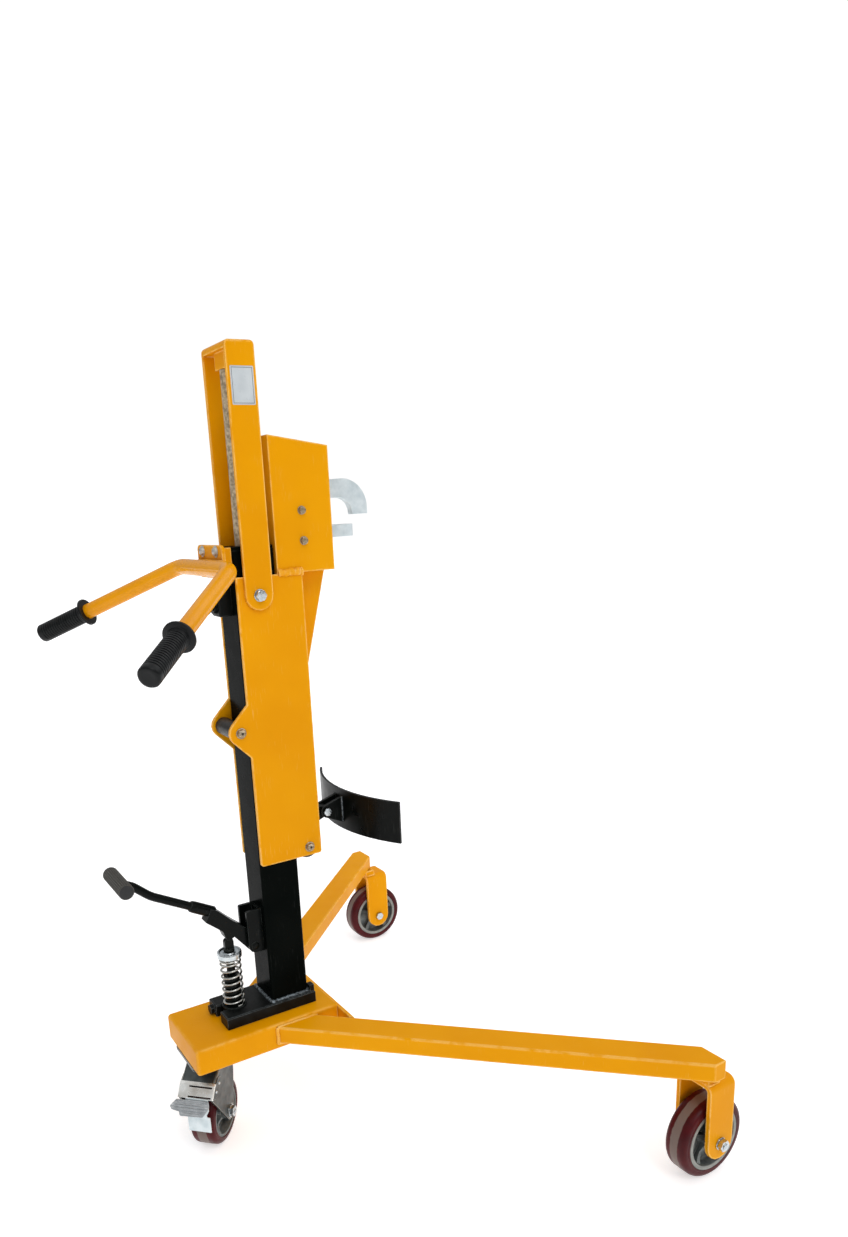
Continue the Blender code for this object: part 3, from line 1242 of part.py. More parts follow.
def add_grip(name, side, base):
    """Rubber sleeve with ring grooves, a flange towards the bend and a closed end."""
    bore = HANDLE_TUBE_RADIUS + BORE_GAP
    flange_end = GRIP_LENGTH - GRIP_FLANGE_THICKNESS
    pitch = (flange_end - GRIP_FLANGE_THICKNESS) / GRIP_GROOVE_COUNT
    profile = [
        (0.0, 0.0),
        (GRIP_RADIUS - GRIP_GROOVE_DEPTH, 0.0),
        (GRIP_RADIUS, GRIP_GROOVE_DEPTH),
    ]
    for groove in range(GRIP_GROOVE_COUNT):
        start = GRIP_FLANGE_THICKNESS + groove * pitch
        profile.append((GRIP_RADIUS, start))
        profile.append((GRIP_RADIUS - GRIP_GROOVE_DEPTH, start + pitch / 2))
    profile += [
        (GRIP_RADIUS, flange_end),
        (GRIP_FLANGE_RADIUS, flange_end),
        (GRIP_FLANGE_RADIUS, GRIP_LENGTH),
        (bore, GRIP_LENGTH),
        (bore, GRIP_END_WALL),
        (0.0, GRIP_END_WALL),
    ]
    grip = turned(profile, "z", (0.0, 0.0, 0.0), GRIP_STEPS)
    along = Vector((side * ARM_DIRECTION.x, ARM_DIRECTION.y, ARM_DIRECTION.z))
    corner = Vector((side * HANDLE_CORNER, -HANDLE_BACK, HANDLE_HEIGHT))
    end = corner + along * (HANDLE_ARM + GRIP_END_WALL + SEAT_GAP)
    turn = (-along).to_track_quat("Z", "Y").to_matrix().to_4x4()
    bmesh.ops.transform(grip, matrix=Matrix.Translation(end) @ turn, verts=grip.verts)
    add_node(name, grip, BLACK_RUBBER, base)


def add_release_valve(base, root):
    """Valve block on the mast's rear face, with a ball knob that turns on its stalk."""
    rear = MAST_REAR_SEAT - VALVE_DEPTH
    half = VALVE_HALF_WIDTH
    shape = box((-half, half), (rear, MAST_REAR_SEAT), (VALVE_BOTTOM, VALVE_TOP))
    shape = bevelled(
        shape, BLOCK_CHAMFER, 1,
        lambda edge: any(vert.co.y < rear + MERGE_DISTANCE for vert in edge.verts),
    )
    block = add_node("release_valve_block", shape, BLACK_PAINT, base)
    centre = (0.0, 0.0, KNOB_HEIGHT)
    boss_end = rear - VALVE_BOSS_LENGTH
    boss = rod(VALVE_BOSS_RADIUS, "y", centre, boss_end, rear + SEAT_GAP, ROUND_STEPS)
    fuse(block, "boss", boss, BLACK_PAINT)
    knob = add_body("release_knob_axis", (0.0, -KNOB_BACK, KNOB_HEIGHT), root)
    neck = math.asin(KNOB_STALK_RADIUS / KNOB_RADIUS)
    profile = [(0.0, boss_end - SEAT_GAP), (KNOB_STALK_RADIUS, boss_end - SEAT_GAP)]
    for ring in range(KNOB_RINGS):
        angle = neck + (math.pi - neck) * ring / KNOB_RINGS
        along = -KNOB_BACK + KNOB_RADIUS * math.cos(angle)
        profile.append((KNOB_RADIUS * math.sin(angle), along))
    profile.append((0.0, -KNOB_BACK - KNOB_RADIUS))
    shape = turned(profile, "y", centre, SMALL_ROUND_STEPS)
    add_node("release_knob", shape, BLACK_PLASTIC, knob)


def side_plate_outline():
    """Side plate with an ear round the rear roller's axle."""
    back = -MAST_HALF
    ear = (-REAR_ROLLER_BACK, REAR_ROLLER_HEIGHT)
    ear_top = (back, REAR_ROLLER_HEIGHT + EAR_SPREAD)
    ear_foot = (back, REAR_ROLLER_HEIGHT - EAR_SPREAD)
    round_ear = wrapped(ear_top, ear, EAR_RADIUS, ear_foot)
    outline = [Vector(ear_top), *round_ear, Vector(ear_foot)]
    corners = [
        (*ear_foot, 0.0),
        (back, SIDE_PLATE_BOTTOM, SIDE_PLATE_CORNER),
        (SIDE_PLATE_FRONT, SIDE_PLATE_BOTTOM, SIDE_PLATE_CORNER),
        (SIDE_PLATE_FRONT, SIDE_PLATE_TOP, 0.0),
        (back, SIDE_PLATE_TOP, 0.0),
    ]
    return outline + rounded(corners, closed=False)[1:]


def add_side_plate(name, side, carriage):
    ends = (side * PLATE_INNER, side * PLATE_OUTER)
    plate = add_node(name, prism(side_plate_outline(), "x", *ends), YELLOW_PAINT, carriage)
    through = (side * (PLATE_INNER - CUT_MARGIN), side * (PLATE_OUTER + CUT_MARGIN))
    for label, place, radius in (
        ("rear_bore", (-REAR_ROLLER_BACK, REAR_ROLLER_HEIGHT), ROLLER_AXLE_RADIUS),
        ("front_bore", (FRONT_ROLLER_FRONT, FRONT_ROLLER_HEIGHT), ROLLER_AXLE_RADIUS),
        ("yoke_bore", (0.0, YOKE_BOLT_HEIGHT), YOKE_BOLT_RADIUS),
    ):
        cut(plate, label, rod(radius + BORE_GAP, "x", across(place), *through))


def add_roller(name, place, radius, carriage):
    """Guide roller between the plates, on an axle bolt of its own."""
    half = PLATE_INNER - CARRIAGE_PLAY
    bore = ROLLER_AXLE_RADIUS + BORE_GAP
    axis = add_body(f"{name}_axis", across(place), carriage)
    profile = [
        (bore, -half),
        (radius - ROLLER_CHAMFER, -half),
        (radius, ROLLER_CHAMFER - half),
        (radius, half - ROLLER_CHAMFER),
        (radius - ROLLER_CHAMFER, half),
        (bore, half),
    ]
    add_node(name, turned(profile, "x", across(place)), BLACK_PAINT, axis)
    add_cross_bolt(
        f"{name}_bolt", place, ROLLER_AXLE_RADIUS, PLATE_OUTER, AXLE_BOLT_FLATS,
        AXLE_BOLT_HEAD, carriage,
    )


def add_front_plate(carriage):
    half = PLATE_INNER - SEAT_GAP
    front = SIDE_PLATE_FRONT - FRONT_PLATE_INSET
    rear = front - FRONT_PLATE_THICKNESS
    plate = box((-half, half), (rear, front), (FRONT_PLATE_BOTTOM, SIDE_PLATE_TOP))
    add_node("carriage_front_plate", plate, YELLOW_PAINT, carriage)


def add_yoke(carriage):
    """Flat bar bent over the mast, with the rod's block under its top."""
    inner = PLATE_OUTER + SEAT_GAP
    half = inner + YOKE_THICKNESS
    low = YOKE_BOLT_HEIGHT - YOKE_HALF_LENGTH
    section = bent_section(half, YOKE_THICKNESS, low, YOKE_TOP, YOKE_BEND / 2, YOKE_BAR)
    length = YOKE_HALF_LENGTH
    yoke = add_node("yoke", prism(section, "y", -length, length), YELLOW_PAINT, carriage)
    rear = (-length, YOKE_TOP + CUT_MARGIN)
    front = (length, YOKE_TOP + CUT_MARGIN)
    bolt = (0.0, YOKE_BOLT_HEIGHT)
    foot = wrapped(rear, bolt, length - MERGE_DISTANCE, front)
    corners = [
        (*foot[-1], 0.0), (length, YOKE_TOP, YOKE_BEND), (-length, YOKE_TOP, YOKE_BEND),
        (*foot[0], 0.0),
    ]
    outline = foot + rounded(corners, closed=False)[1:-1]
    reach = half + CUT_MARGIN
    trim_to(yoke, "side", prism(outline, "x", -reach, reach))
    block = box(
        (-ROD_BLOCK_HALF_WIDTH, ROD_BLOCK_HALF_WIDTH),
        (-ROD_BLOCK_HALF_LENGTH, ROD_BLOCK_HALF_LENGTH),
        (ROD_TOP + SEAT_GAP, YOKE_TOP - YOKE_BAR / 2),
    )
    fuse(yoke, "rod_block", block, YELLOW_PAINT)
    bore = rod(YOKE_BOLT_RADIUS + BORE_GAP, "x", across(bolt), -reach, reach)
    cut(yoke, "bolt_bore", bore)
    for prefix, side in (("right", 1), ("left", -1)):
        head_start = side * (half + SEAT_GAP)
        head_end = head_start + side * YOKE_BOLT_HEAD
        stud_start = side * (MAST_HALF + SEAT_GAP)
        stud = rod(YOKE_BOLT_RADIUS, "x", across(bolt), stud_start, head_end - side * SEAT_GAP)
        node = add_node(f"{prefix}_yoke_bolt", stud, ZINC_PLATE, carriage)
        head = prism(polygon(bolt, YOKE_BOLT_FLATS), "x", head_start, head_end)
        fuse(node, "head", head, ZINC_PLATE)


def add_piston_rod(carriage):
    piston = CYLINDER_BORE - BORE_GAP
    profile = [
        (0.0, ROD_BOTTOM - PISTON_HEIGHT),
        (piston, ROD_BOTTOM - PISTON_HEIGHT),
        (piston, ROD_BOTTOM),
        (ROD_RADIUS, ROD_BOTTOM),
        (ROD_RADIUS, ROD_TOP),
        (0.0, ROD_TOP),
    ]
    add_node("piston_rod", turned(profile, "z", (0.0, 0.0, 0.0)), BRIGHT_STEEL, carriage)


def add_clamp_housing(carriage):
    """Folded box, open at the front, that the jaws are pinned in."""
    rear = MAST_HALF + HOUSING_REAR_GAP
    low = SIDE_PLATE_TOP + SEAT_GAP
    outline = [
        (rear, low), (HOUSING_FRONT, low), (HOUSING_FRONT, HOUSING_TOP_FRONT),
        (rear, HOUSING_TOP_REAR),
    ]
    shape = prism(outline, "x", -PLATE_OUTER, PLATE_OUTER)
    housing = add_node("clamp_housing", shape, YELLOW_PAINT, carriage)
    beyond = HOUSING_FRONT + CUT_MARGIN
    slope = (HOUSING_TOP_FRONT - HOUSING_TOP_REAR) / (HOUSING_FRONT - rear)
    inner_rear = rear + HOUSING_WALL
    roof = HOUSING_TOP_REAR - HOUSING_WALL
    hollow = [
        (inner_rear, low + HOUSING_WALL),
        (beyond, low + HOUSING_WALL),
        (beyond, roof + slope * (beyond - rear)),
        (inner_rear, roof + slope * HOUSING_WALL),
    ]
    inner = PLATE_OUTER - HOUSING_WALL
    cut(housing, "hollow", prism(hollow, "x", -inner, inner))
    reach = PLATE_OUTER + CUT_MARGIN
    for label, place in (("upper_bore", UPPER_PIN), ("lower_bore", LOWER_PIN)):
        cut(housing, label, rod(JAW_PIN_RADIUS + BORE_GAP, "x", across(place), -reach, reach))
    seat = SIDE_PLATE_FRONT - FRONT_PLATE_INSET + SEAT_GAP
    rib = [
        (seat, GUSSET_FOOT),
        GUSSET_WAIST,
        (HOUSING_FRONT, low - SEAT_GAP),
        (seat, low - SEAT_GAP),
    ]
    gusset = prism(rib, "x", -GUSSET_HALF_WIDTH, GUSSET_HALF_WIDTH)
    add_node("housing_gusset", gusset, YELLOW_PAINT, carriage)


def add_jaws(carriage):
    """Beak that swings over the rim on its pin, above the fixed lower jaw."""
    inner = PLATE_OUTER - HOUSING_WALL - SEAT_GAP
    for name, place in (("upper_jaw_pin", UPPER_PIN), ("lower_jaw_pin", LOWER_PIN)):
        add_cross_bolt(
            name, place, JAW_PIN_RADIUS, PLATE_OUTER, JAW_PIN_FLATS, JAW_PIN_HEAD, carriage
        )
    beak = add_body("upper_jaw_axis", across(UPPER_PIN), carriage)
    throat_rear = (BEAK_THROAT_REAR, BEAK_THROAT_HEIGHT)
    corners = [
        (*throat_rear, 0.0),
        (BEAK_THROAT_FRONT, BEAK_THROAT_HEIGHT, BEAK_THROAT_RADIUS),
        (BEAK_TIP_REAR, BEAK_TIP_HEIGHT, 0.0),
        (BEAK_FRONT, BEAK_TIP_HEIGHT, 0.0),
        (BEAK_FRONT, BEAK_TOP, BEAK_NOSE_RADIUS),
        (*BEAK_BACK, BEAK_BACK_RADIUS),
        (*UPPER_PIN, 0.0),
    ]
    path = rounded(corners, closed=False)[:-1]
    outline = path + wrapped(path[-1], UPPER_PIN, BEAK_HUB_RADIUS, throat_rear)
    shape = prism(outline, "x", -BEAK_HALF_WIDTH, BEAK_HALF_WIDTH)
    upper = add_node("upper_jaw", shape, ZINC_PLATE, beak)
    ends = (-inner, inner, SMALL_ROUND_STEPS)
    sleeve = rod(BEAK_SLEEVE_RADIUS, "x", across(UPPER_PIN), *ends)
    fuse(upper, "sleeve", sleeve, ZINC_PLATE)
    reach = inner + CUT_MARGIN
    cut(upper, "bore", rod(JAW_PIN_RADIUS + BORE_GAP, "x", across(UPPER_PIN), -reach, reach))
    half = LOWER_JAW_HALF_WIDTH
    plan = rounded([
        (-half, LOWER_JAW_REAR, 0.0),
        (half, LOWER_JAW_REAR, 0.0),
        (half, LOWER_JAW_FRONT, LOWER_JAW_NOSE),
        (-half, LOWER_JAW_FRONT, LOWER_JAW_NOSE),
    ])
    shape = prism(plan, "z", LOWER_JAW_TOP - LOWER_JAW_THICKNESS, LOWER_JAW_TOP)
    lower = add_node("lower_jaw", shape, ZINC_PLATE, carriage)
    boss = rod(LOWER_JAW_BOSS_RADIUS, "x", across(LOWER_PIN), *ends)
    fuse(lower, "boss", boss, ZINC_PLATE)
    cut(lower, "bore", rod(JAW_PIN_RADIUS + BORE_GAP, "x", across(LOWER_PIN), -reach, reach))


def add_drum_rest(carriage):
    """Curved band that tilts on a bolt through a stub on the carriage."""
    seat = SIDE_PLATE_FRONT - FRONT_PLATE_INSET + SEAT_GAP
    foot = (seat, REST_STUB_FOOT)
    top = (seat, REST_STUB_TOP)
    outline = [Vector(foot)] + wrapped(foot, REST_BOLT, REST_STUB_RADIUS, top) + [Vector(top)]
    half = REST_STUB_HALF_WIDTH
    stub = add_node("rest_bracket", prism(outline, "x", -half, half), BLACK_PAINT, carriage)
    lug_inner = half + SEAT_GAP
    lug_outer = lug_inner + REST_LUG_THICKNESS
    reach = lug_outer + CUT_MARGIN
    centre = across(REST_BOLT)
    cut(stub, "bore", rod(REST_BOLT_RADIUS + BORE_GAP, "x", centre, -reach, reach))
    add_cross_bolt(
        "rest_bolt", REST_BOLT, REST_BOLT_RADIUS, lug_outer, REST_BOLT_FLATS, REST_BOLT_HEAD,
        carriage,
    )
    rest = add_body("drum_rest_axis", centre, carriage)
    outer = BAND_RADIUS + BAND_THICKNESS
    angles = [BAND_HALF_ANGLE * (2 * step / BAND_STEPS - 1) for step in range(BAND_STEPS + 1)]
    arc = []
    for radius, turns in ((outer, angles), (BAND_RADIUS, reversed(angles))):
        arc += [(radius * math.sin(a), DRUM_AXIS - radius * math.cos(a)) for a in turns]
    band = add_node("drum_rest", prism(arc, "z", BAND_BOTTOM, BAND_TOP), BLACK_PAINT, rest)
    back = DRUM_AXIS - outer + BAND_SINK
    middle = (BAND_BOTTOM + BAND_TOP) / 2
    low = (back, middle - REST_LUG_SPREAD)
    high = (back, middle + REST_LUG_SPREAD)
    lug = wrapped(high, REST_BOLT, REST_LUG_RADIUS, low) + [Vector(low), Vector(high)]
    for label, side in (("right_lug", 1), ("left_lug", -1)):
        shape = prism(lug, "x", side * lug_inner, side * lug_outer)
        fuse(band, label, shape, BLACK_PAINT)
    cut(band, "bore", rod(REST_BOLT_RADIUS + BORE_GAP, "x", centre, -reach, reach))


def main():
    for leftover in list(bpy.data.objects):
        bpy.data.objects.remove(leftover)
    root = add_body("mast_axis", (0.0, MAST_PLACE, 0.0))
    base = add_body("base_frame", (0.0, 0.0, 0.0), root)
    add_base_beam(base)
    add_tie_plate(base)
    for prefix, side in (("right", 1), ("left", -1)):
        add_leg(f"{prefix}_leg", side, base)
        add_wheel_fork(f"{prefix}_wheel_fork", side, base)
        add_wheel_axle(prefix, side, base)
        add_front_wheel(prefix, side, root)
        add_grip(f"{prefix}_grip", side, base)
    add_caster_top_plate(base)
    add_caster(root)
    add_pump_block(base)
    add_mast(base)
    add_pump(base, root)
    add_pedal_bracket(base)
    add_pedal(root)
    add_handle(base)
    add_release_valve(base, root)
    carriage = add_body("carriage_frame", (0.0, 0.0, 0.0), root)
    add_side_plate("right_side_plate", 1, carriage)
    add_side_plate("left_side_plate", -1, carriage)
    rear_place = (-REAR_ROLLER_BACK, REAR_ROLLER_HEIGHT)
    front_place = (FRONT_ROLLER_FRONT, FRONT_ROLLER_HEIGHT)
    add_roller("rear_guide_roller", rear_place, REAR_ROLLER_RADIUS, carriage)
    add_roller("front_guide_roller", front_place, FRONT_ROLLER_RADIUS, carriage)
    add_front_plate(carriage)
    add_yoke(carriage)
    add_piston_rod(carriage)
    add_clamp_housing(carriage)
    add_jaws(carriage)
    add_drum_rest(carriage)


main()
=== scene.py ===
import json
import math

import bmesh
import bpy
from mathutils import Matrix, Vector, noise

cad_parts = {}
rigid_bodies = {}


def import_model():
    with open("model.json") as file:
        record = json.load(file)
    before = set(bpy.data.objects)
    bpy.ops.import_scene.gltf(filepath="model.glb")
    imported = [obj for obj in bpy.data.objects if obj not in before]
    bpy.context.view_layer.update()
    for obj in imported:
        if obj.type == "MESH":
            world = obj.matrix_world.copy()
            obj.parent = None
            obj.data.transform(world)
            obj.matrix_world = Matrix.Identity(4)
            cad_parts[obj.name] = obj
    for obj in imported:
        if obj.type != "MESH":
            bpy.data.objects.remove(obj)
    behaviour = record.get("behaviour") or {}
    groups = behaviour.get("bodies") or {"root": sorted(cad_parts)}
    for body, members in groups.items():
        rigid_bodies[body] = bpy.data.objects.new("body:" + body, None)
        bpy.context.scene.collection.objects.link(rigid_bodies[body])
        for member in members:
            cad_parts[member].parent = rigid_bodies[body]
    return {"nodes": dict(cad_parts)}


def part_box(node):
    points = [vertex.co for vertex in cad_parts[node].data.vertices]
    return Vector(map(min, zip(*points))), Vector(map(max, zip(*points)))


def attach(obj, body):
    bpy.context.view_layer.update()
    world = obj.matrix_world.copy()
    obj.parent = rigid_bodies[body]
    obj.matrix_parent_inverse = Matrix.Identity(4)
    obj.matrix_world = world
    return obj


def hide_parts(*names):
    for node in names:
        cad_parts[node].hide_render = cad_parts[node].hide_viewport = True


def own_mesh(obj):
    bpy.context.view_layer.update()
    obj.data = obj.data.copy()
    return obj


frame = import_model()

# The lifter's imported solids come in standing on the floor, each at its own place. What a new
# file holds beside them goes out, and the mast tube's box sets the mast's place.
for spare in [thing for thing in bpy.data.objects if thing.name in ("Cube", "Camera", "Light")]:
    bpy.data.objects.remove(spare)
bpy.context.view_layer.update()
mast_low, mast_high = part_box("mast_tube")
AT_MAST = Matrix.Translation((0.0, (mast_low.y + mast_high.y) / 2, 0.0))


# The view is from the lifter's right rear corner, standing a little above the handle, with
# the camera tipped down, slightly off level, and framed high on the mast.
EYE = Vector((1.4898, -0.7816, 1.1627))
ROUND_FROM_REAR = math.radians(60.3)
TIPPED_DOWN = math.radians(15.57)
OFF_LEVEL = math.radians(-3.1)
FRAME_HEIGHT = 1237
FOCAL_LENGTH = 917.4
FRAMED_ASIDE = 0.0445
FRAMED_UP = 0.1171

camera = bpy.data.objects.new("viewpoint", bpy.data.cameras.new("viewpoint"))
bpy.context.scene.collection.objects.link(camera)
camera.data.sensor_width = 36.0
camera.data.lens = 36.0 * FOCAL_LENGTH / FRAME_HEIGHT
camera.data.shift_x = FRAMED_ASIDE
camera.data.shift_y = FRAMED_UP
towards_eye = Vector((
    math.sin(ROUND_FROM_REAR) * math.cos(TIPPED_DOWN),
    -math.cos(ROUND_FROM_REAR) * math.cos(TIPPED_DOWN),
    math.sin(TIPPED_DOWN),
))
level = Vector((math.cos(ROUND_FROM_REAR), math.sin(ROUND_FROM_REAR), 0.0))
upright = towards_eye.cross(level)
to_right = level * math.cos(OFF_LEVEL) + upright * math.sin(OFF_LEVEL)
to_top = upright * math.cos(OFF_LEVEL) - level * math.sin(OFF_LEVEL)
turn = Matrix((to_right, to_top, towards_eye)).transposed()
camera.matrix_world = Matrix.Translation(EYE) @ turn.to_4x4()
bpy.context.scene.camera = camera


# The studio is a wide pale floor, lit a little from below like a light table, in a white room
# that only the camera sees. Light comes from an even sky, brighter overhead and to the right,
# and from two broad lamps whose shadows are soft.
FLOOR_HALF = 30.0
FLOOR_SHADE = 0.82
FLOOR_GLOW = 0.49
ROOM_RADIUS = 40.0
ROOM_GLOW = 1.03
LAMPS = (
    ("key_lamp", (0.9, -0.1, 0.95), 0.77, 26.0),
    ("front_side_lamp", (0.1, 1.0, 0.9), 0.36, 40.0),
)
SKY_TONES = ((0.0, 0.25), (0.5, 0.14), (0.6, 0.36), (1.0, 0.95))
SKY_BLUE = 1.02


def studio_piece(name, shape, shade, glow):
    """Matt surface round the lifter, which gives off light of its own."""
    mesh = bpy.data.meshes.new(name)
    shape.to_mesh(mesh)
    shape.free()
    paint = bpy.data.materials.new(name + "_paint")
    paint.use_nodes = True
    shader = paint.node_tree.nodes["Principled BSDF"]
    shader.inputs["Base Color"].default_value = (shade, shade, shade, 1)
    shader.inputs["Roughness"].default_value = 0.9
    shader.inputs["Specular IOR Level"].default_value = 0.0
    shader.inputs["Emission Color"].default_value = (1, 1, 1, 1)
    shader.inputs["Emission Strength"].default_value = glow
    mesh.materials.append(paint)
    thing = bpy.data.objects.new(name, mesh)
    bpy.context.scene.collection.objects.link(thing)
    return thing


floor_shape = bmesh.new()
corners = ((-1, -1), (1, -1), (1, 1), (-1, 1))
floor_shape.faces.new([floor_shape.verts.new((x * FLOOR_HALF, y * FLOOR_HALF, 0)) for x, y in corners])
studio_piece("studio_floor", floor_shape, FLOOR_SHADE, FLOOR_GLOW)
room_shape = bmesh.new()
bmesh.ops.create_uvsphere(room_shape, u_segments=64, v_segments=32, radius=ROOM_RADIUS)
room = studio_piece("white_room", room_shape, 0.0, ROOM_GLOW)
room.visible_diffuse = False
room.visible_glossy = False
room.visible_transmission = False
room.visible_shadow = False

sky = bpy.data.worlds.new("studio_sky")
sky.use_nodes = True
nodes, links = sky.node_tree.nodes, sky.node_tree.links
direction = nodes.new("ShaderNodeTexCoord")
heights = nodes.new("ShaderNodeSeparateXYZ")
share_up = nodes.new("ShaderNodeMapRange")
share_up.inputs["From Min"].default_value = -1.0
tones = nodes.new("ShaderNodeValToRGB")
marks = tones.color_ramp.elements
for place, tone in SKY_TONES[1:-1]:
    marks.new(place)
for mark, (place, tone) in zip(marks, SKY_TONES):
    mark.position = place
    mark.color = (tone, tone, tone * SKY_BLUE, 1)
links.new(direction.outputs["Generated"], heights.inputs[0])
links.new(heights.outputs["Z"], share_up.inputs["Value"])
links.new(share_up.outputs[0], tones.inputs[0])
links.new(tones.outputs[0], nodes["Background"].inputs["Color"])
bpy.context.scene.world = sky
bpy.context.scene.view_settings.view_transform = "Standard"
for name, towards_lamp, power, spread in LAMPS:
    lamp = bpy.data.objects.new(name, bpy.data.lights.new(name, "SUN"))
    lamp.data.energy = power
    lamp.data.angle = math.radians(spread)
    lamp.rotation_euler = Vector(towards_lamp).to_track_quat("Z", "Y").to_euler()
    bpy.context.scene.collection.objects.link(lamp)


# The base is a flat rectangular steel tube with two splayed tube legs and a tie bar welded to
# it, all powder coated yellow together. The coat has a faint orange peel and paler edges, worn
# there and with painted highlights, and is darker with dust and painted shade where pieces meet.
BASE_EDGE = 0.0014
YELLOW = (233, 158, 2)
YELLOW_SHADE = (226, 149, 0)
YELLOW_WORN_HIGHLIGHT = (255, 210, 120)
PAINT_DUST_SHADE = (150, 96, 10)
LEG_SEAM = (-0.0498, 0.0308)
LEG_SEAM_FOOT = 0.2088
LEG_SEAM_TOP = 0.2432
BEAM_SIDE = 0.0808
TIE_SEAM_Y = 0.0778
TIE_SEAM_HALF = 0.076
BEAD_STEP = 0.0011
BEAD_SEED = 7


def linear(colour):
    """A colour picked off a screen, as the share of light that it gives back."""
    shares = [level / 255 for level in colour]
    bent = [s / 12.92 if s <= 0.04045 else ((s + 0.055) / 1.055) ** 2.4 for s in shares]
    return (*bent, 1.0)


def recipe_step(surface, kind, feeds=None, **settings):
    """One more step in a surface's recipe. A feed is a number, a colour or an earlier step."""
    step = surface.node_tree.nodes.new("ShaderNode" + kind)
    for setting, value in settings.items():
        setattr(step, setting, value)
    for socket, feed in (feeds or {}).items():
        if isinstance(feed, bpy.types.NodeSocket):
            surface.node_tree.links.new(feed, step.inputs[socket])
        else:
            step.inputs[socket].default_value = feed
    return step


def patches(surface, size, start, full, stretch=(1, 1, 1), detail=2.0):
    """Share from 0 to 1 in cloudy patches of about that size."""
    where = recipe_step(surface, "TexCoord").outputs["Object"]
    scale = [1 / (size * longer) for longer in stretch]
    spread = recipe_step(surface, "Mapping", {"Vector": where, "Scale": scale}).outputs[0]
    cloud = recipe_step(surface, "TexNoise", {"Vector": spread, "Scale": 1.0, "Detail": detail})
    feeds = {"Value": cloud.outputs[0], "From Min": start, "From Max": full}
    return recipe_step(surface, "MapRange", feeds).outputs[0]


def part_of(surface, share, amount):
    """That share, times a number or another share."""
    return recipe_step(surface, "Math", {0: share, 1: amount}, operation="MULTIPLY").outputs[0]


def over(surface, share, under, colour):
    """The colour laid over the one under it, by that share."""
    colour = linear(colour) if isinstance(colour, tuple) else colour
    feeds = {0: share, 6: under, 7: colour}
    return recipe_step(surface, "Mix", feeds, data_type="RGBA").outputs[2]


def edges(surface, reach):
    """Share that is full along sharp outer edges, for wear and painted highlights there."""
    soft = recipe_step(surface, "Bevel", {"Radius": reach}, samples=4).outputs[0]
    true = recipe_step(surface, "NewGeometry").outputs["Normal"]
    match = recipe_step(surface, "VectorMath", {0: soft, 1: true}, operation="DOT_PRODUCT")
    feeds = {"Value": match.outputs["Value"], "From Min": 0.9985, "From Max": 0.94}
    return recipe_step(surface, "MapRange", feeds).outputs[0]


def shaded_corners_of(surface, reach):
    """Share that is full where pieces meet and ambient occlusion finds them shut in: painted shade, tinted
    as dust.
    """
    open_to_air = recipe_step(surface, "AmbientOcclusion", {"Distance": reach}, samples=4)
    feeds = {"Value": open_to_air.outputs["AO"], "From Min": 0.75, "From Max": 0.25}
    return recipe_step(surface, "MapRange", feeds).outputs[0]


def finish(name, tones, roughness, metallic=0.0, patch=0.1, grain=None, worn_lit_edges=None, dust_and_corner_shade=None,
           scratches=None, shine=0.5):
    """A surface in two tones, with grain, edges paler from wear and painted highlights, corners darker from
    dust and painted shade, and scratches where they are given.
    """
    surface = bpy.data.materials.new(name)
    surface.use_nodes = True
    shader = surface.node_tree.nodes["Principled BSDF"]
    shader.inputs["Metallic"].default_value = metallic
    shader.inputs["Specular IOR Level"].default_value = shine
    cloud = patches(surface, patch, 0.35, 0.65)
    colour = over(surface, cloud, linear(tones[0]), tones[1])
    # Corners that ambient occlusion finds shut in are darkened: painted shade, tinted as dust.
    if dust_and_corner_shade:
        tint, reach, amount = dust_and_corner_shade
        share = part_of(surface, shaded_corners_of(surface, reach), amount)
        colour = over(surface, share, colour, tint)
    if scratches:
        tint, amount, stretch = scratches
        lines = patches(surface, 0.0012, 0.66, 0.74, stretch, 1.0)
        lines = part_of(surface, lines, patches(surface, 0.05, 0.5, 0.62))
        colour = over(surface, part_of(surface, lines, amount), colour, tint)
    # Edges are made paler: wear, and painted highlights along them.
    if worn_lit_edges:
        tint, reach, amount = worn_lit_edges
        rubbed_and_lit = part_of(surface, edges(surface, reach), patches(surface, 0.02, 0.3, 0.52))
        colour = over(surface, part_of(surface, rubbed_and_lit, amount), colour, tint)
    surface.node_tree.links.new(colour, shader.inputs["Base Color"])
    uneven = patches(surface, patch / 4, 0.3, 0.7)
    feeds = {"Value": uneven, "To Min": roughness - 0.05, "To Max": roughness + 0.08}
    gloss = recipe_step(surface, "MapRange", feeds).outputs[0]
    surface.node_tree.links.new(gloss, shader.inputs["Roughness"])
    if grain:
        size, depth, *stretch = grain
        height = patches(surface, size, 0.0, 1.0, *stretch)
        bump = recipe_step(surface, "Bump", {"Height": height, "Distance": depth, "Strength": 1.0})
        surface.node_tree.links.new(bump.outputs[0], shader.inputs["Normal"])
    return surface


def creases():
    """Steps that shade a solid smooth, apart from its sharp edges."""
    group = bpy.data.node_groups.new("creases", "GeometryNodeTree")
    group.interface.new_socket("Geometry", in_out="INPUT", socket_type="NodeSocketGeometry")
    group.interface.new_socket("Geometry", in_out="OUTPUT", socket_type="NodeSocketGeometry")
    comes, goes = group.nodes.new("NodeGroupInput"), group.nodes.new("NodeGroupOutput")
    angle = group.nodes.new("GeometryNodeInputMeshEdgeAngle")
    sharp = group.nodes.new("FunctionNodeCompare")
    sharp.operation = "GREATER_THAN"
    sharp.inputs["B"].default_value = math.radians(40)
    normal = group.nodes.new("GeometryNodeSetMeshNormal")
    normal.inputs["Remove Custom"].default_value = True
    group.links.new(angle.outputs["Unsigned Angle"], sharp.inputs["A"])
    group.links.new(comes.outputs[0], normal.inputs["Mesh"])
    group.links.new(sharp.outputs[0], normal.inputs["Edge Sharpness"])
    group.links.new(normal.outputs[0], goes.inputs[0])
    return group


CREASES = creases()


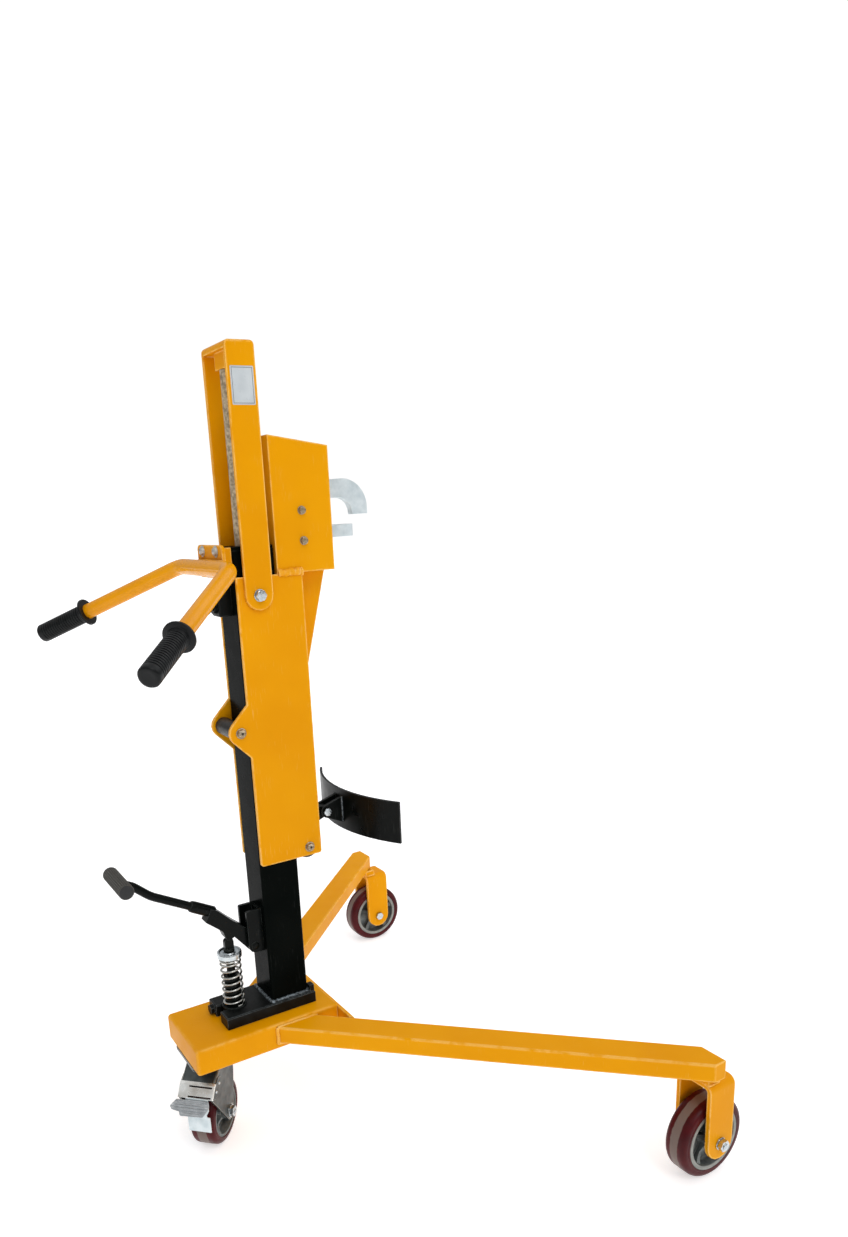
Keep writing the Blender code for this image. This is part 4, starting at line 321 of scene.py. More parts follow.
def softened(thing, edge):
    """The piece with its sharp edges rounded and its faces shaded to match."""
    if edge:
        round_over = thing.modifiers.new("rounded_edges", "BEVEL")
        round_over.width = edge
        round_over.segments = 2
        round_over.angle_limit = math.radians(38)
        round_over.use_clamp_overlap = True
    thing.modifiers.new("creases", "NODES").node_group = CREASES
    thing.modifiers.new("even_shading", "WEIGHTED_NORMAL").keep_sharp = True


def dressed(surface, edge, *names):
    """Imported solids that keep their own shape, sewn up, softened and given their finish."""
    for name in names:
        solid = frame["nodes"][name]
        for slot in solid.material_slots:
            slot.material = surface
        solid.modifiers.new("sewn", "WELD").merge_threshold = 0.00001
        whole = solid.modifiers.new("whole_faces", "DECIMATE")
        whole.decimate_type = "DISSOLVE"
        whole.angle_limit = math.radians(0.6)
        softened(solid, edge)


def skin(rings, loop=False):
    """Skin over rings of points, with flat ends, or closed on itself in a loop."""
    shape = bmesh.new()
    laid = [[shape.verts.new(point) for point in ring] for ring in rings]
    pairs = list(zip(laid, laid[1:]))
    if loop:
        pairs.append((laid[-1], laid[0]))
    for near, far in pairs:
        for spot in range(max(len(near), len(far))):
            quad = [near[spot % len(near)], near[(spot + 1) % len(near)],
                    far[(spot + 1) % len(far)], far[spot % len(far)]]
            shape.faces.new(dict.fromkeys(quad))
    if not loop:
        for end in (laid[0], laid[-1]):
            if len(end) > 2:
                shape.faces.new(end)
    bmesh.ops.recalc_face_normals(shape, faces=shape.faces)
    return shape


def together(shapes):
    """Several shapes as one."""
    whole = bmesh.new()
    for shape in shapes:
        scratch = bpy.data.meshes.new("scratch")
        shape.to_mesh(scratch)
        shape.free()
        whole.from_mesh(scratch)
        bpy.data.meshes.remove(scratch)
    return whole


def piece(name, shape, surface, body, stands_for=(), edge=0.0, at=(0, 0, 0), stand=AT_MAST):
    """A made piece, drawn about its own place in the mast's or the castor's frame."""
    mesh = bpy.data.meshes.new(name)
    shape.to_mesh(mesh)
    shape.free()
    mesh.materials.append(surface)
    thing = bpy.data.objects.new(name, mesh)
    bpy.context.scene.collection.objects.link(thing)
    thing.matrix_world = stand @ Matrix.Translation(at)
    softened(thing, edge)
    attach(thing, body)
    if stands_for:
        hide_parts(*stands_for)
    return thing


def along(path, radii, sides=24):
    """Rings square to a path, for a bar, a wire or a bead."""
    rings = []
    side = None
    for index, place in enumerate(path):
        ahead = (path[min(index + 1, len(path) - 1)] - path[max(index - 1, 0)]).normalized()
        side = side or ahead.orthogonal()
        side = (side - ahead * side.dot(ahead)).normalized()
        other = ahead.cross(side)
        radius = radii[index] if isinstance(radii, list) else radii
        angles = [math.tau * corner / sides for corner in range(sides)]
        rings.append([place + (side * math.cos(a) + other * math.sin(a)) * radius for a in angles])
    return rings


def weld_bead(stops, size, pitch=0.0045):
    """Lumpy bead laid along straight runs, each lump a little over the last."""
    path = []
    for start, end in zip(stops, stops[1:]):
        start, end = Vector(start), Vector(end)
        count = max(2, round((end - start).length / BEAD_STEP))
        path += [start.lerp(end, spot / count) for spot in range(count)]
    path.append(Vector(stops[-1]))
    radii = []
    for index, place in enumerate(path):
        lump = abs(math.sin(math.pi * index * BEAD_STEP / pitch))
        wander = noise.noise(place * 140)
        radii.append(size * (0.82 + 0.2 * lump + 0.18 * wander))
    path = [place + noise.noise_vector(place * 110) * size * 0.22 for place in path]
    return skin(along(path, radii, 10))


noise.seed_set(BEAD_SEED)
# The coat's pale edges are wear and painted highlight. Its darker corners are dust and painted shade.
yellow_coat = finish(
    "yellow_powder_coat", (YELLOW, YELLOW_SHADE), 0.36, patch=0.16,
    grain=(0.0022, 0.00004), worn_lit_edges=(YELLOW_WORN_HIGHLIGHT, 0.0042, 0.9),
    dust_and_corner_shade=(PAINT_DUST_SHADE, 0.014, 0.5), scratches=((250, 205, 120), 0.3, (1, 1, 22)), shine=0.06,
)
dressed(yellow_coat, BASE_EDGE, "base_beam", "right_leg", "left_leg", "front_tie_plate")
rear, front = LEG_SEAM
seams = (
    (rear, LEG_SEAM_TOP, front, LEG_SEAM_TOP, 0.0024),
    (rear, LEG_SEAM_FOOT, front, LEG_SEAM_FOOT, 0.0024),
    (rear - 0.0005, LEG_SEAM_FOOT, rear - 0.0005, LEG_SEAM_TOP, 0.0034),
    (front + 0.0008, LEG_SEAM_FOOT, front + 0.0008, LEG_SEAM_TOP, 0.0026),
)
beads = []
for x in (-BEAM_SIDE, BEAM_SIDE):
    for start_y, start_z, end_y, end_z, size in seams:
        beads.append(weld_bead([(x, start_y, start_z), (x, end_y, end_z)], size))
tie_seam = [(x, TIE_SEAM_Y, LEG_SEAM_TOP) for x in (-TIE_SEAM_HALF, TIE_SEAM_HALF)]
beads.append(weld_bead(tie_seam, 0.0022))
piece("base_weld_beads", together(beads), yellow_coat, "base")


# Each front wheel's fork is flat bar bent over the wheel, round at its ends and welded to a
# block under the leg's end. It is coated with the base.
SIDES = (("right", 1), ("left", -1))
FORK_EDGE = 0.0012
WHEEL_PLACE = Vector((0.5706, 0.5316, 0.075))
FORK_BLOCK_TOP = 0.2086
FORK_BLOCK_HALF = 0.030
FORK_BLOCK_REAR = 0.5019
FORK_TOP = 0.1957
FORK_BEAD = 0.0022
OVER_BLOCK_FRONT = 0.5245
UNDER_BLOCK_FRONT = (0.5265, 0.5285)

dressed(yellow_coat, FORK_EDGE, "right_wheel_fork", "left_wheel_fork")
for prefix, side in SIDES:
    inner = side * (WHEEL_PLACE.x - FORK_BLOCK_HALF)
    outer = side * (WHEEL_PLACE.x + FORK_BLOCK_HALF)
    rear = FORK_BLOCK_REAR
    near_leg, near_wheel = UNDER_BLOCK_FRONT
    over_block = [(inner, OVER_BLOCK_FRONT), (inner, rear), (outer, rear)]
    under_block = [(outer, rear), (outer, near_leg), (inner, near_wheel), (inner, rear)]
    beads = [weld_bead([(x, y, FORK_BLOCK_TOP) for x, y in over_block], FORK_BEAD),
             weld_bead([(x, y, FORK_TOP) for x, y in under_block], FORK_BEAD)]
    piece(f"{prefix}_fork_weld_beads", together(beads), yellow_coat, "base")


# The front wheels have a cast iron centre with a turned rim and five ribs, and a maroon
# polyurethane tread cast round it. Rolling has worn the middle of the tread to a grey band.
TREAD_HALF = 0.023
TREAD_INNER = 0.0590
WHEEL_RADIUS = 0.075
TREAD_SHOULDER = 0.010
TREAD_BAND = 0.0085
HUB_RADIUS = 0.0588
HUB_RIM_INNER = 0.0508
HUB_RIM_HALF = 0.0225
HUB_WEB_HALF = 0.005
HUB_BOSS_RADIUS = 0.0155
HUB_BOSS_HALF = 0.0282
HUB_BORE = 0.0063
HUB_RIBS = 5
HUB_FIRST_RIB = 0.3
TURNED_RING = (HUB_RIM_INNER + 0.0008, HUB_RADIUS - 0.0006, 0, 0.0004)
TREAD_TONES = ((80, 12, 18), (62, 8, 13))
TREAD_WORN = (118, 104, 97)
CASTING_TONES = ((126, 132, 131), (98, 104, 104))
TURNED_TONES = ((150, 152, 147), (134, 136, 131))


def ring_about(count, spot):
    """Ring of points about Z. At each angle, the spot gives their reach and height."""
    points = []
    for step in range(count):
        a = math.tau * step / count
        reach, height = spot(a)
        points.append(Vector((reach * math.cos(a), reach * math.sin(a), height)))
    return points


def spun(profile, steps=64, loop=False):
    """Turned shape about its own Z, from (radius, place along the axis)."""
    rings = [ring_about(steps if r > 0 else 1, lambda a: (r, z)) for r, z in profile]
    return skin(rings, loop)


def collar(bore, radius, start, end, steps):
    """Plain ring or sleeve round an axis."""
    return spun([(bore, start), (radius, start), (radius, end), (bore, end)], steps, loop=True)


def facing(shape, direction, place=(0, 0, 0)):
    """The shape with its Z turned to a direction, at a place."""
    turn = Vector(direction).to_track_quat("Z", "Y").to_matrix().to_4x4()
    bmesh.ops.transform(shape, matrix=Matrix.Translation(place) @ turn, verts=shape.verts)
    return shape


def sideways(shape, side=1, reach=0.0, place=(0, 0)):
    """The shape turned to one side along X, with its foot that far out, at a (y, z) place."""
    return facing(shape, (side, 0, 0), (side * reach, *place))


def eased(corners, closed=False, finest=math.radians(7)):
    """Path through (..., radius) corners, each rounded to its radius."""
    count = len(corners)
    points = []
    for index, (*place, radius) in enumerate(corners):
        here = Vector(place)
        if radius <= 0 or (not closed and index in (0, count - 1)):
            points.append(here)
            continue
        back = (Vector(corners[index - 1][:-1]) - here).normalized()
        ahead = (Vector(corners[(index + 1) % count][:-1]) - here).normalized()
        half = back.angle(ahead) / 2
        centre = here + (back + ahead).normalized() * radius / math.sin(half)
        start = here + back * radius / math.tan(half) - centre
        end = here + ahead * radius / math.tan(half) - centre
        bend = math.pi - 2 * half
        steps = max(1, math.ceil(bend / finest))
        for step in range(steps + 1):
            first = math.sin(bend * (1 - step / steps)) / math.sin(bend)
            last = math.sin(bend * step / steps) / math.sin(bend)
            points.append(centre + start * first + end * last)
    return points


def tread_shape(radius, inner, half, shoulder):
    """Tread with round shoulders, a slight crown and a bonding lip on each side."""
    profile = eased([
        (inner, -half, 0), (inner + 0.003, -half, 0), (inner + 0.0036, -half + 0.0006, 0),
        (radius - 0.0005, -half + 0.0006, shoulder), (radius - 0.00002, 0, 0.02),
        (radius - 0.0005, half - 0.0006, shoulder), (inner + 0.0036, half - 0.0006, 0),
        (inner + 0.003, half, 0), (inner, half, 0),
    ])
    return sideways(spun(profile, 96, loop=True))


def hub_shape(radius, rim_inner, rim_half, bore, boss_half, boss_radius):
    """Cast centre: turned rim, thin web, boss and five ribs."""
    web = HUB_WEB_HALF
    half_profile = [
        (bore, boss_half, 0), (boss_radius - 0.001, boss_half, 0),
        (boss_radius, boss_half - 0.001, 0), (boss_radius + 0.002, web, 0.004),
        (rim_inner - 0.002, web, 0.004), (rim_inner, rim_half - 0.001, 0),
        (rim_inner + 0.001, rim_half, 0), (radius - 0.0008, rim_half, 0),
        (radius, rim_half - 0.0008, 0),
    ]
    upper = eased(half_profile, finest=math.radians(20))
    profile = upper + [Vector((r, -z)) for r, z in reversed(upper)]
    shapes = [spun(profile, 96, loop=True)]
    for rib in range(HUB_RIBS):
        a = math.tau * rib / HUB_RIBS + HUB_FIRST_RIB
        out = Vector((math.cos(a), math.sin(a), 0))
        aside = Vector((-out.y, out.x, 0))
        sections = []
        for share in (0, 0.2, 0.5, 0.8, 1):
            reach = boss_radius - 0.001 + (rim_inner + 0.001 - boss_radius) * share
            tall = (rim_half - 0.003) * (0.95 - 0.35 * math.sin(math.pi * share))
            wide = 0.0032 + 0.0028 * abs(2 * share - 1) ** 2
            corners = ((-1, -1), (1, -1), (1, 1), (-1, 1))
            sections.append([out * reach + aside * wide * u + Vector((0, 0, tall * v)) for u, v in corners])
        shapes.append(skin(sections))
    return sideways(together(shapes))


def tread_rubber(name, radius, band):
    """Maroon polyurethane with a worn band round its middle, told by the axle's own X."""
    surface = finish(name, TREAD_TONES, 0.36, patch=0.03, grain=(0.003, 0.00005), shine=0.16)
    shader = surface.node_tree.nodes["Principled BSDF"]
    colour = shader.inputs["Base Color"].links[0].from_socket
    where = recipe_step(surface, "TexCoord").outputs["Object"]
    parts = recipe_step(surface, "SeparateXYZ", {0: where})
    off = recipe_step(surface, "Math", {0: parts.outputs[0]}, operation="ABSOLUTE").outputs[0]
    ragged = part_of(surface, patches(surface, 0.012, 0.2, 0.8), 0.0024)
    reach = recipe_step(surface, "Math", {0: off, 1: ragged}, operation="ADD").outputs[0]
    feeds = {"Value": reach, "From Min": band + 0.0016, "From Max": band}
    middle = recipe_step(surface, "MapRange", feeds).outputs[0]
    flat = recipe_step(surface, "CombineXYZ", {1: parts.outputs[1], 2: parts.outputs[2]})
    length = recipe_step(surface, "VectorMath", {0: flat.outputs[0]}, operation="LENGTH")
    feeds = {"Value": length.outputs["Value"], "From Min": radius - 0.004, "From Max": radius - 0.001}
    outside = recipe_step(surface, "MapRange", feeds).outputs[0]
    share = part_of(surface, part_of(surface, middle, outside), 0.92)
    surface.node_tree.links.new(over(surface, share, colour, TREAD_WORN), shader.inputs["Base Color"])
    return surface


wheel_tread = tread_rubber("maroon_tread", WHEEL_RADIUS, TREAD_BAND)
cast_centre = finish("cast_wheel_centre", CASTING_TONES, 0.5, 0.55, patch=0.02,
                     grain=(0.0012, 0.00012), worn_lit_edges=(TURNED_TONES[0], 0.0018, 0.8),
                     dust_and_corner_shade=((52, 56, 58), 0.02, 0.6))
turned_face = finish("turned_rim_face", TURNED_TONES, 0.5, 0.3, patch=0.015,
                     grain=(0.0006, 0.00003), shine=0.3)
for prefix, side in SIDES:
    centre = (side * WHEEL_PLACE.x, WHEEL_PLACE.y, WHEEL_PLACE.z)
    body = f"{prefix}_wheel"
    shape = tread_shape(WHEEL_RADIUS, TREAD_INNER, TREAD_HALF, TREAD_SHOULDER)
    piece(f"{prefix}_wheel_tread", shape, wheel_tread, body, (f"{prefix}_tread",), at=centre)
    shape = hub_shape(HUB_RADIUS, HUB_RIM_INNER, HUB_RIM_HALF, HUB_BORE, HUB_BOSS_HALF, HUB_BOSS_RADIUS)
    piece(f"{prefix}_wheel_centre", shape, cast_centre, body, (f"{prefix}_hub",), at=centre)
    rims = []
    for face in (-1, 1):
        rims.append(sideways(collar(*TURNED_RING, 96), face, HUB_RIM_HALF))
    piece(f"{prefix}_wheel_rim_faces", together(rims), turned_face, body, at=centre)


# Hexagon bolts carry the front wheels: forged heads on the inner side, and outside a washer,
# a chamfered nut and the rounded end of the rolled thread. All are zinc plated.
ZINC_TONES = ((206, 212, 214), (182, 190, 194))
FORK_FACE = 0.0368
AXLE_BOLT_RADIUS = 0.006
AXLE_HEAD = (0.018, 0.007)
AXLE_NUT = (0.019, 0.009)
WASHER = (0.0115, 0.002, 0.0064)
BOLT_PAST_FORK = 0.0125
HEAD_FACE = 0.97
HEAD_CHAMFER = math.radians(32)
THREAD_DEPTH = 0.0006


def hexagon_reach(a, flats):
    """Reach of a hexagon's side at an angle, from its width across the flats."""
    return flats / 2 / math.cos((a % (math.pi / 3)) - math.pi / 6)


def hexagon(flats, height, both=False):
    """Bolt head with the chamfer that a lathe leaves on its corners; a nut has it on both sides."""
    face = flats / 2 * HEAD_FACE

    def drop(a):
        return max(0.0, hexagon_reach(a, flats) - face) * math.tan(HEAD_CHAMFER)

    foot = [ring_about(48, lambda a: (hexagon_reach(a, flats), 0.0))]
    if both:
        foot = [ring_about(48, lambda a: (min(hexagon_reach(a, flats), face), 0.0)),
                ring_about(48, lambda a: (hexagon_reach(a, flats), drop(a)))]
    top = [ring_about(48, lambda a: (hexagon_reach(a, flats), height - drop(a))),
           ring_about(48, lambda a: (min(hexagon_reach(a, flats), face), height))]
    return skin([[Vector((0, 0, 0))], *foot, *top, [Vector((0, 0, height))]])


def thread(radius, start, end, pitch=0.00125):
    """Length of rolled screw thread, with a domed tip at its end."""
    rings = [[Vector((0, 0, start))]]
    count = max(6, round((end - start) / pitch * 6))

    def groove(a):
        phase = ((height - start) / pitch - a / math.tau) % 1
        return radius - THREAD_DEPTH * abs(2 * phase - 1), height

    for index in range(count + 1):
        height = start + (end - start) * index / count
        rings.append(ring_about(24, groove))
    for shrink, rise in ((0.8, 0.0007), (0.5, 0.0012)):
        rings.append([Vector((p.x * shrink, p.y * shrink, end + rise)) for p in rings[count + 1]])
    rings.append([Vector((0, 0, end + 0.0014))])
    return skin(rings)


def washer(radius, thick, bore):
    """Pressed washer with soft outer edges."""
    soft = thick / 4
    profile = [(bore, 0), (radius - soft, 0), (radius, soft), (radius, thick - soft),
               (radius - soft, thick), (bore, thick)]
    return spun(profile, 48, loop=True)


zinc = finish("zinc_plate", ZINC_TONES, 0.24, 1.0, patch=0.012, grain=(0.003, 0.00001),
              worn_lit_edges=((240, 242, 242), 0.0008, 0.5), dust_and_corner_shade=((58, 48, 36), 0.005, 0.8))
for prefix, side in SIDES:
    centre = (side * WHEEL_PLACE.x, WHEEL_PLACE.y, WHEEL_PLACE.z)
    shank = sideways(thread(AXLE_BOLT_RADIUS, -FORK_FACE, FORK_FACE + BOLT_PAST_FORK), side)
    head = sideways(hexagon(*AXLE_HEAD), -side, FORK_FACE)
    piece(f"{prefix}_wheel_bolt", together([shank, head]), zinc, "base",
          (f"{prefix}_axle_bolt",), at=centre)
    ring = sideways(washer(*WASHER), side, FORK_FACE)
    nut = sideways(hexagon(*AXLE_NUT, both=True), side, FORK_FACE + WASHER[1])
    piece(f"{prefix}_wheel_nut", together([ring, nut]), zinc, "base",
          (f"{prefix}_axle_nut",), at=centre)


# The castor swivels on a ring of balls between its top plate and its pressed fork. Plate, cup
# and fork are thick zinc-grey pressings, darker than the new bolts.
CASTER_TURN = math.radians(45)
CASTER_PLACE = (0, -0.165, 0)
CASTER = AT_MAST @ Matrix.Translation(CASTER_PLACE) @ Matrix.Rotation(CASTER_TURN, 4, "Z")
CASTER_AXLE = (0, 0.008, 0.0625)
CASTER_FACE = 0.0343
CASTER_EDGE = 0.0008
CASTER_TREAD = (0.0625, 0.0488, 0.025, 0.009)
CASTER_BAND = 0.010
CASTER_HUB = (0.0486, 0.0428, 0.0242, 0.0053, 0.0295, 0.0145)
CASTER_HEAD = (0.018, 0.008)
CASTER_NUT = (0.018, 0.0070)
CASTER_WASHER = (0.0118, 0.0018, 0.0052)
CASTER_BOLT_RADIUS = 0.005
CASTER_BOLT_END = 0.0095
BALL_COUNT = 38
BALL_RING = (0.0345, 0.1826, 0.0024)
CUP_PROFILE = ((0, 0.1722), (0.034, 0.1722), (0.034, 0.1800), (0.032, 0.1830), (0, 0.1830))
CROWN_RUN = ((0.038, 0.1794, 0), (-0.016, 0.1794, 0.012), (-0.0484, 0.1545, 0))
CROWN_BEND = ((0.034, 0.0056), (0.0334, 0.0026), (0.0318, 0.0007), (0.029, 0.0))
CROWN_GAUGE = 0.0035
FORK_BROW = (0.038, 0.1762)
FORK_REAR = ((-0.016, 0.1762), (-0.0468, 0.1526), (-0.0612, 0.1355), (-0.060, 0.1294))
FORK_LEAD = (0.038, 0.1394)
FORK_BOSS = 0.016
BOSS_RIM = ((0.0122, 0), (0.0138, 0), (0.0134, 0.0006), (0.0126, 0.0006))
FORK_GAUGE = 0.004
FORK_STEEL_TONES = ((92, 96, 95), (62, 67, 67))

castor_steel = finish("castor_steel", FORK_STEEL_TONES, 0.34, 0.9, patch=0.04,
                      grain=(0.0016, 0.000012, (1, 1, 16)), worn_lit_edges=((206, 208, 202), 0.0016, 0.9),
                      dust_and_corner_shade=((40, 40, 38), 0.012, 0.6))
dressed(castor_steel, CASTER_EDGE, "caster_top_plate")
ring_radius, ring_height, ball_radius = BALL_RING
ball = []
for step in range(9):
    a = math.pi * step / 8
    ball.append((ball_radius * math.sin(a), -ball_radius * math.cos(a)))
ball[0], ball[-1] = (0, -ball_radius), (0, ball_radius)
spots = ring_about(BALL_COUNT, lambda a: (ring_radius, ring_height))
balls = [facing(spun(ball, 12), (0, 0, 1), spot) for spot in spots]
piece("castor_ball_ring", together(balls), zinc, "caster_swivel", stand=CASTER)


def round_about(before, centre, radius, after, finest=math.radians(9)):
    """Arc round a boss, anticlockwise, between its tangents from two outside points."""
    middle, coming, going = Vector(centre), Vector(before) - Vector(centre), Vector(after) - Vector(centre)
    start = math.atan2(coming.y, coming.x) + math.acos(radius / coming.length)
    end = math.atan2(going.y, going.x) - math.acos(radius / going.length)
    sweep = (end - start) % math.tau
    steps = max(2, math.ceil(sweep / finest))
    angles = [start + sweep * step / steps for step in range(steps + 1)]
    return [middle + radius * Vector((math.cos(a), math.sin(a))) for a in angles]


def cut_plate(outline, *faces):
    """Plate cut to a (y, z) outline, between two places along X."""
    return skin([[Vector((x, y, z)) for y, z in outline] for x in faces])


def pressing(stops, across, gauge, holes=()):
    """Sheet pressed along (y, z) stops. Across it lie (x, depth) places, and holes go by cell."""
    shape = bmesh.new()
    half = across[-1][0]
    layers = []
    for under in (0.0, gauge):
        rows = []
        for index, place in enumerate(stops):
            run = stops[min(index + 1, len(stops) - 1)] - stops[max(index - 1, 0)]
            inward = Vector((-run.y, run.x)).normalized()
            spots = [(x * (1 - under / half), place + inward * (depth + under)) for x, depth in across]
            rows.append([shape.verts.new((x, *spot)) for x, spot in spots])
        layers.append(rows)
    kept = {(row, cell) for row in range(len(stops) - 1) for cell in range(len(across) - 1)} - set(holes)
    for row, cell in sorted(kept):
        corners = [(row, cell), (row, cell + 1), (row + 1, cell + 1), (row + 1, cell)]
        for rows in layers:
            shape.faces.new([rows[r][c] for r, c in corners])
        for (down, aside), ends in (
            ((-1, 0), ((0, 0), (0, 1))), ((1, 0), ((1, 0), (1, 1))),
            ((0, -1), ((0, 0), (1, 0))), ((0, 1), ((0, 1), (1, 1))),
        ):
            if (row + down, cell + aside) not in kept:
                rim = [(row + r, cell + c) for r, c in ends]
                face = [layers[0][r][c] for r, c in rim] + [layers[1][r][c] for r, c in reversed(rim)]
                shape.faces.new(face)
    bmesh.ops.recalc_face_normals(shape, faces=shape.faces)
    return shape


across = [(-x, depth) for x, depth in CROWN_BEND] + list(reversed(CROWN_BEND))
crown = pressing(eased(CROWN_RUN, finest=math.radians(8)), across, CROWN_GAUGE)
outline = [FORK_BROW, *FORK_REAR]
outline += round_about(FORK_REAR[-1], CASTER_AXLE[1:], FORK_BOSS, FORK_LEAD) + [FORK_LEAD]
outer = CASTER_FACE - 0.0003
inner = outer - FORK_GAUGE
sides = [cut_plate(outline, side * outer, side * inner) for side in (-1, 1)]
for side in (-1, 1):
    sides.append(sideways(spun(BOSS_RIM, 48, loop=True), side, outer, CASTER_AXLE[1:]))
piece("castor_fork_pressing", together([crown, spun(CUP_PROFILE, 64), *sides]), castor_steel,
      "caster_swivel", ("caster_fork",), edge=CASTER_EDGE, stand=CASTER)
bolt = [
    sideways(hexagon(*CASTER_HEAD), -1, CASTER_FACE),
    sideways(hexagon(*CASTER_NUT), 1, CASTER_FACE + 0.0014),
    sideways(washer(*CASTER_WASHER), 1, CASTER_FACE),
    sideways(thread(CASTER_BOLT_RADIUS, -CASTER_FACE, CASTER_FACE + CASTER_BOLT_END)),
]
piece("castor_wheel_bolt", together(bolt), zinc, "caster_swivel",
      ("caster_axle_bolt",), at=CASTER_AXLE, stand=CASTER)
castor_tread = tread_rubber("castor_tread", CASTER_TREAD[0], CASTER_BAND)
piece("castor_wheel_tread", tread_shape(*CASTER_TREAD), castor_tread,
      "caster_wheel", ("caster_tread",), at=CASTER_AXLE, stand=CASTER)
piece("castor_wheel_centre", hub_shape(*CASTER_HUB), cast_centre, "caster_wheel",
      ("caster_hub",), at=CASTER_AXLE, stand=CASTER)


# The castor's brake is a pressed zinc bridge, folded over the fork's brow and riveted to its
# cheeks, with a flat tongue before the tread, and a ribbed foot plate hinged under its foot.
BRIDGE_RUN = ((-0.0456, 0.1580, 0), (-0.0496, 0.1552, 0.002), (-0.0646, 0.1352, 0))
BRIDGE_BEND = ((0.0356, 0.0046), (0.0351, 0.0014), (0.0340, 0.0))
SLOTS = (-0.0150, 0.0315)
SLOT_DEPTHS = (0.0020, 0.0050, 0.0200, 0.0230)
BRIDGE_GAUGE = 0.0014
CHEEK = (
    (-0.0440, 0.1545), (-0.0478, 0.1522), (-0.0626, 0.1334), (-0.0500, 0.1280),
    (-0.0350, 0.1365), (-0.0235, 0.1470), (-0.0225, 0.1590), (-0.0310, 0.1625),
)
CHEEK_FACES = (0.0342, 0.0356)
RIVET_FACE = 0.0354
RIVETS = ((-0.0305, 0.150), (-0.0455, 0.141))
RIVET_DOME = ((0, 0.0019), (0.0015, 0.0017), (0.0026, 0.0011), (0.0031, 0.0), (0, 0.0))
TONGUE = (
    (-0.0174, 0.137, 0), (-0.0174, 0.067, 0.001), (0.0274, 0.067, 0.001), (0.0274, 0.0985, 0.001),
    (0.0190, 0.0990, 0.003), (0.0262, 0.112, 0.012), (0.0268, 0.137, 0),
)
TONGUE_FACES = (-0.0664, -0.0645)
FOOT_HINGE = Vector((-0.0672, 0.1335))
FOOT_SLOPE = math.radians(72)
FOOT_OUTLINE = (
    (-0.0350, 0, 0.002), (0.0290, 0, 0.002), (0.0305, 0.0105, 0.004), (0.0190, 0.0285, 0.004),
    (-0.0270, 0.0300, 0.003), (-0.0285, 0.0225, 0.001), (-0.0440, 0.0195, 0.004), (-0.0475, 0.0130, 0.004),
)
FOOT_GAUGE = 0.0026
FOOT_RIBS = (
    (0.0055, -0.0400, 0.0270), (0.0105, -0.0440, 0.0280),
    (0.0155, -0.0440, 0.0245), (0.0240, -0.0240, 0.0190),
)
RIB_LIFT = 0.0024
RIB_RADII = [0.0006, 0.0020, 0.0021, 0.0021, 0.0021, 0.0020, 0.0006]
KNUCKLE = (0.0022, -0.0174, 0.0174)
KNUCKLE_ASIDE = 0.005
KNUCKLE_PLACE = FOOT_HINGE + Vector((-0.0006, -0.0016))

brushed_zinc = finish("brushed_zinc", ((236, 238, 234), (176, 170, 160)), 0.3, 0.75, patch=0.035,
                      grain=(0.0016, 0.00001, (14, 1, 1)), worn_lit_edges=((255, 255, 250), 0.0016, 0.9),
                      dust_and_corner_shade=((60, 56, 50), 0.003, 0.5))
foot_plate = finish("foot_plate_grey", ((154, 159, 162), (134, 139, 142)), 0.4, 0.3, patch=0.012,
                    grain=(0.0012, 0.00001, (10, 1, 1)), worn_lit_edges=((226, 228, 228), 0.0012, 0.8),
                    dust_and_corner_shade=((86, 88, 90), 0.003, 0.7))
pale_zinc = finish("pale_zinc_plate", ((220, 230, 233), (198, 211, 215)), 0.36, 0.35, patch=0.018,
                   grain=(0.0014, 0.00002), worn_lit_edges=((246, 250, 250), 0.001, 0.6),
                   dust_and_corner_shade=((96, 96, 92), 0.006, 0.4))
stops = eased(BRIDGE_RUN, finest=math.radians(8))
edge_place, foot = stops[-2], stops[-1]
down = (foot - edge_place).normalized()
stops[-1:] = [edge_place + down * depth for depth in SLOT_DEPTHS] + [foot]
first = len(stops) - 1 - len(SLOT_DEPTHS)
across = [(-x, depth) for x, depth in BRIDGE_BEND] + [(x, 0.0) for x in SLOTS] + list(reversed(BRIDGE_BEND))
cell = len(BRIDGE_BEND)
face = pressing(stops, across, BRIDGE_GAUGE, [(first, cell), (first + 2, cell)])
piece("castor_bridge_pressing", face, brushed_zinc, "caster_swivel",
      ("caster_brake_bridge",), edge=0.0004, stand=CASTER)
cheeks = [cut_plate(CHEEK, *(side * face for face in CHEEK_FACES)) for side in (-1, 1)]
piece("castor_bridge_cheeks", together(cheeks), castor_steel, "caster_swivel",
      edge=0.0005, stand=CASTER)


def cross_plate(outline, *faces):
    """Plate cut to an (x, z) outline, between two places along Y."""
    return skin([[Vector((x, y, z)) for x, z in outline] for y in faces])


tongue = cross_plate(eased(TONGUE, closed=True, finest=math.radians(12)), *TONGUE_FACES)
piece("castor_brake_tongue", tongue, pale_zinc, "caster_swivel", edge=0.0003, stand=CASTER)
heads = []
for side in (-1, 1):
    for place in RIVETS:
        heads.append(sideways(spun(RIVET_DOME, 24), side, RIVET_FACE, place))
piece("castor_rivets", together(heads), zinc, "caster_swivel", stand=CASTER)


def round_bar(radius, start, end, steps=24):
    """Plain round bar between two places along its axis."""
    return spun([(0, start), (radius, start), (radius, end), (0, end)], steps)


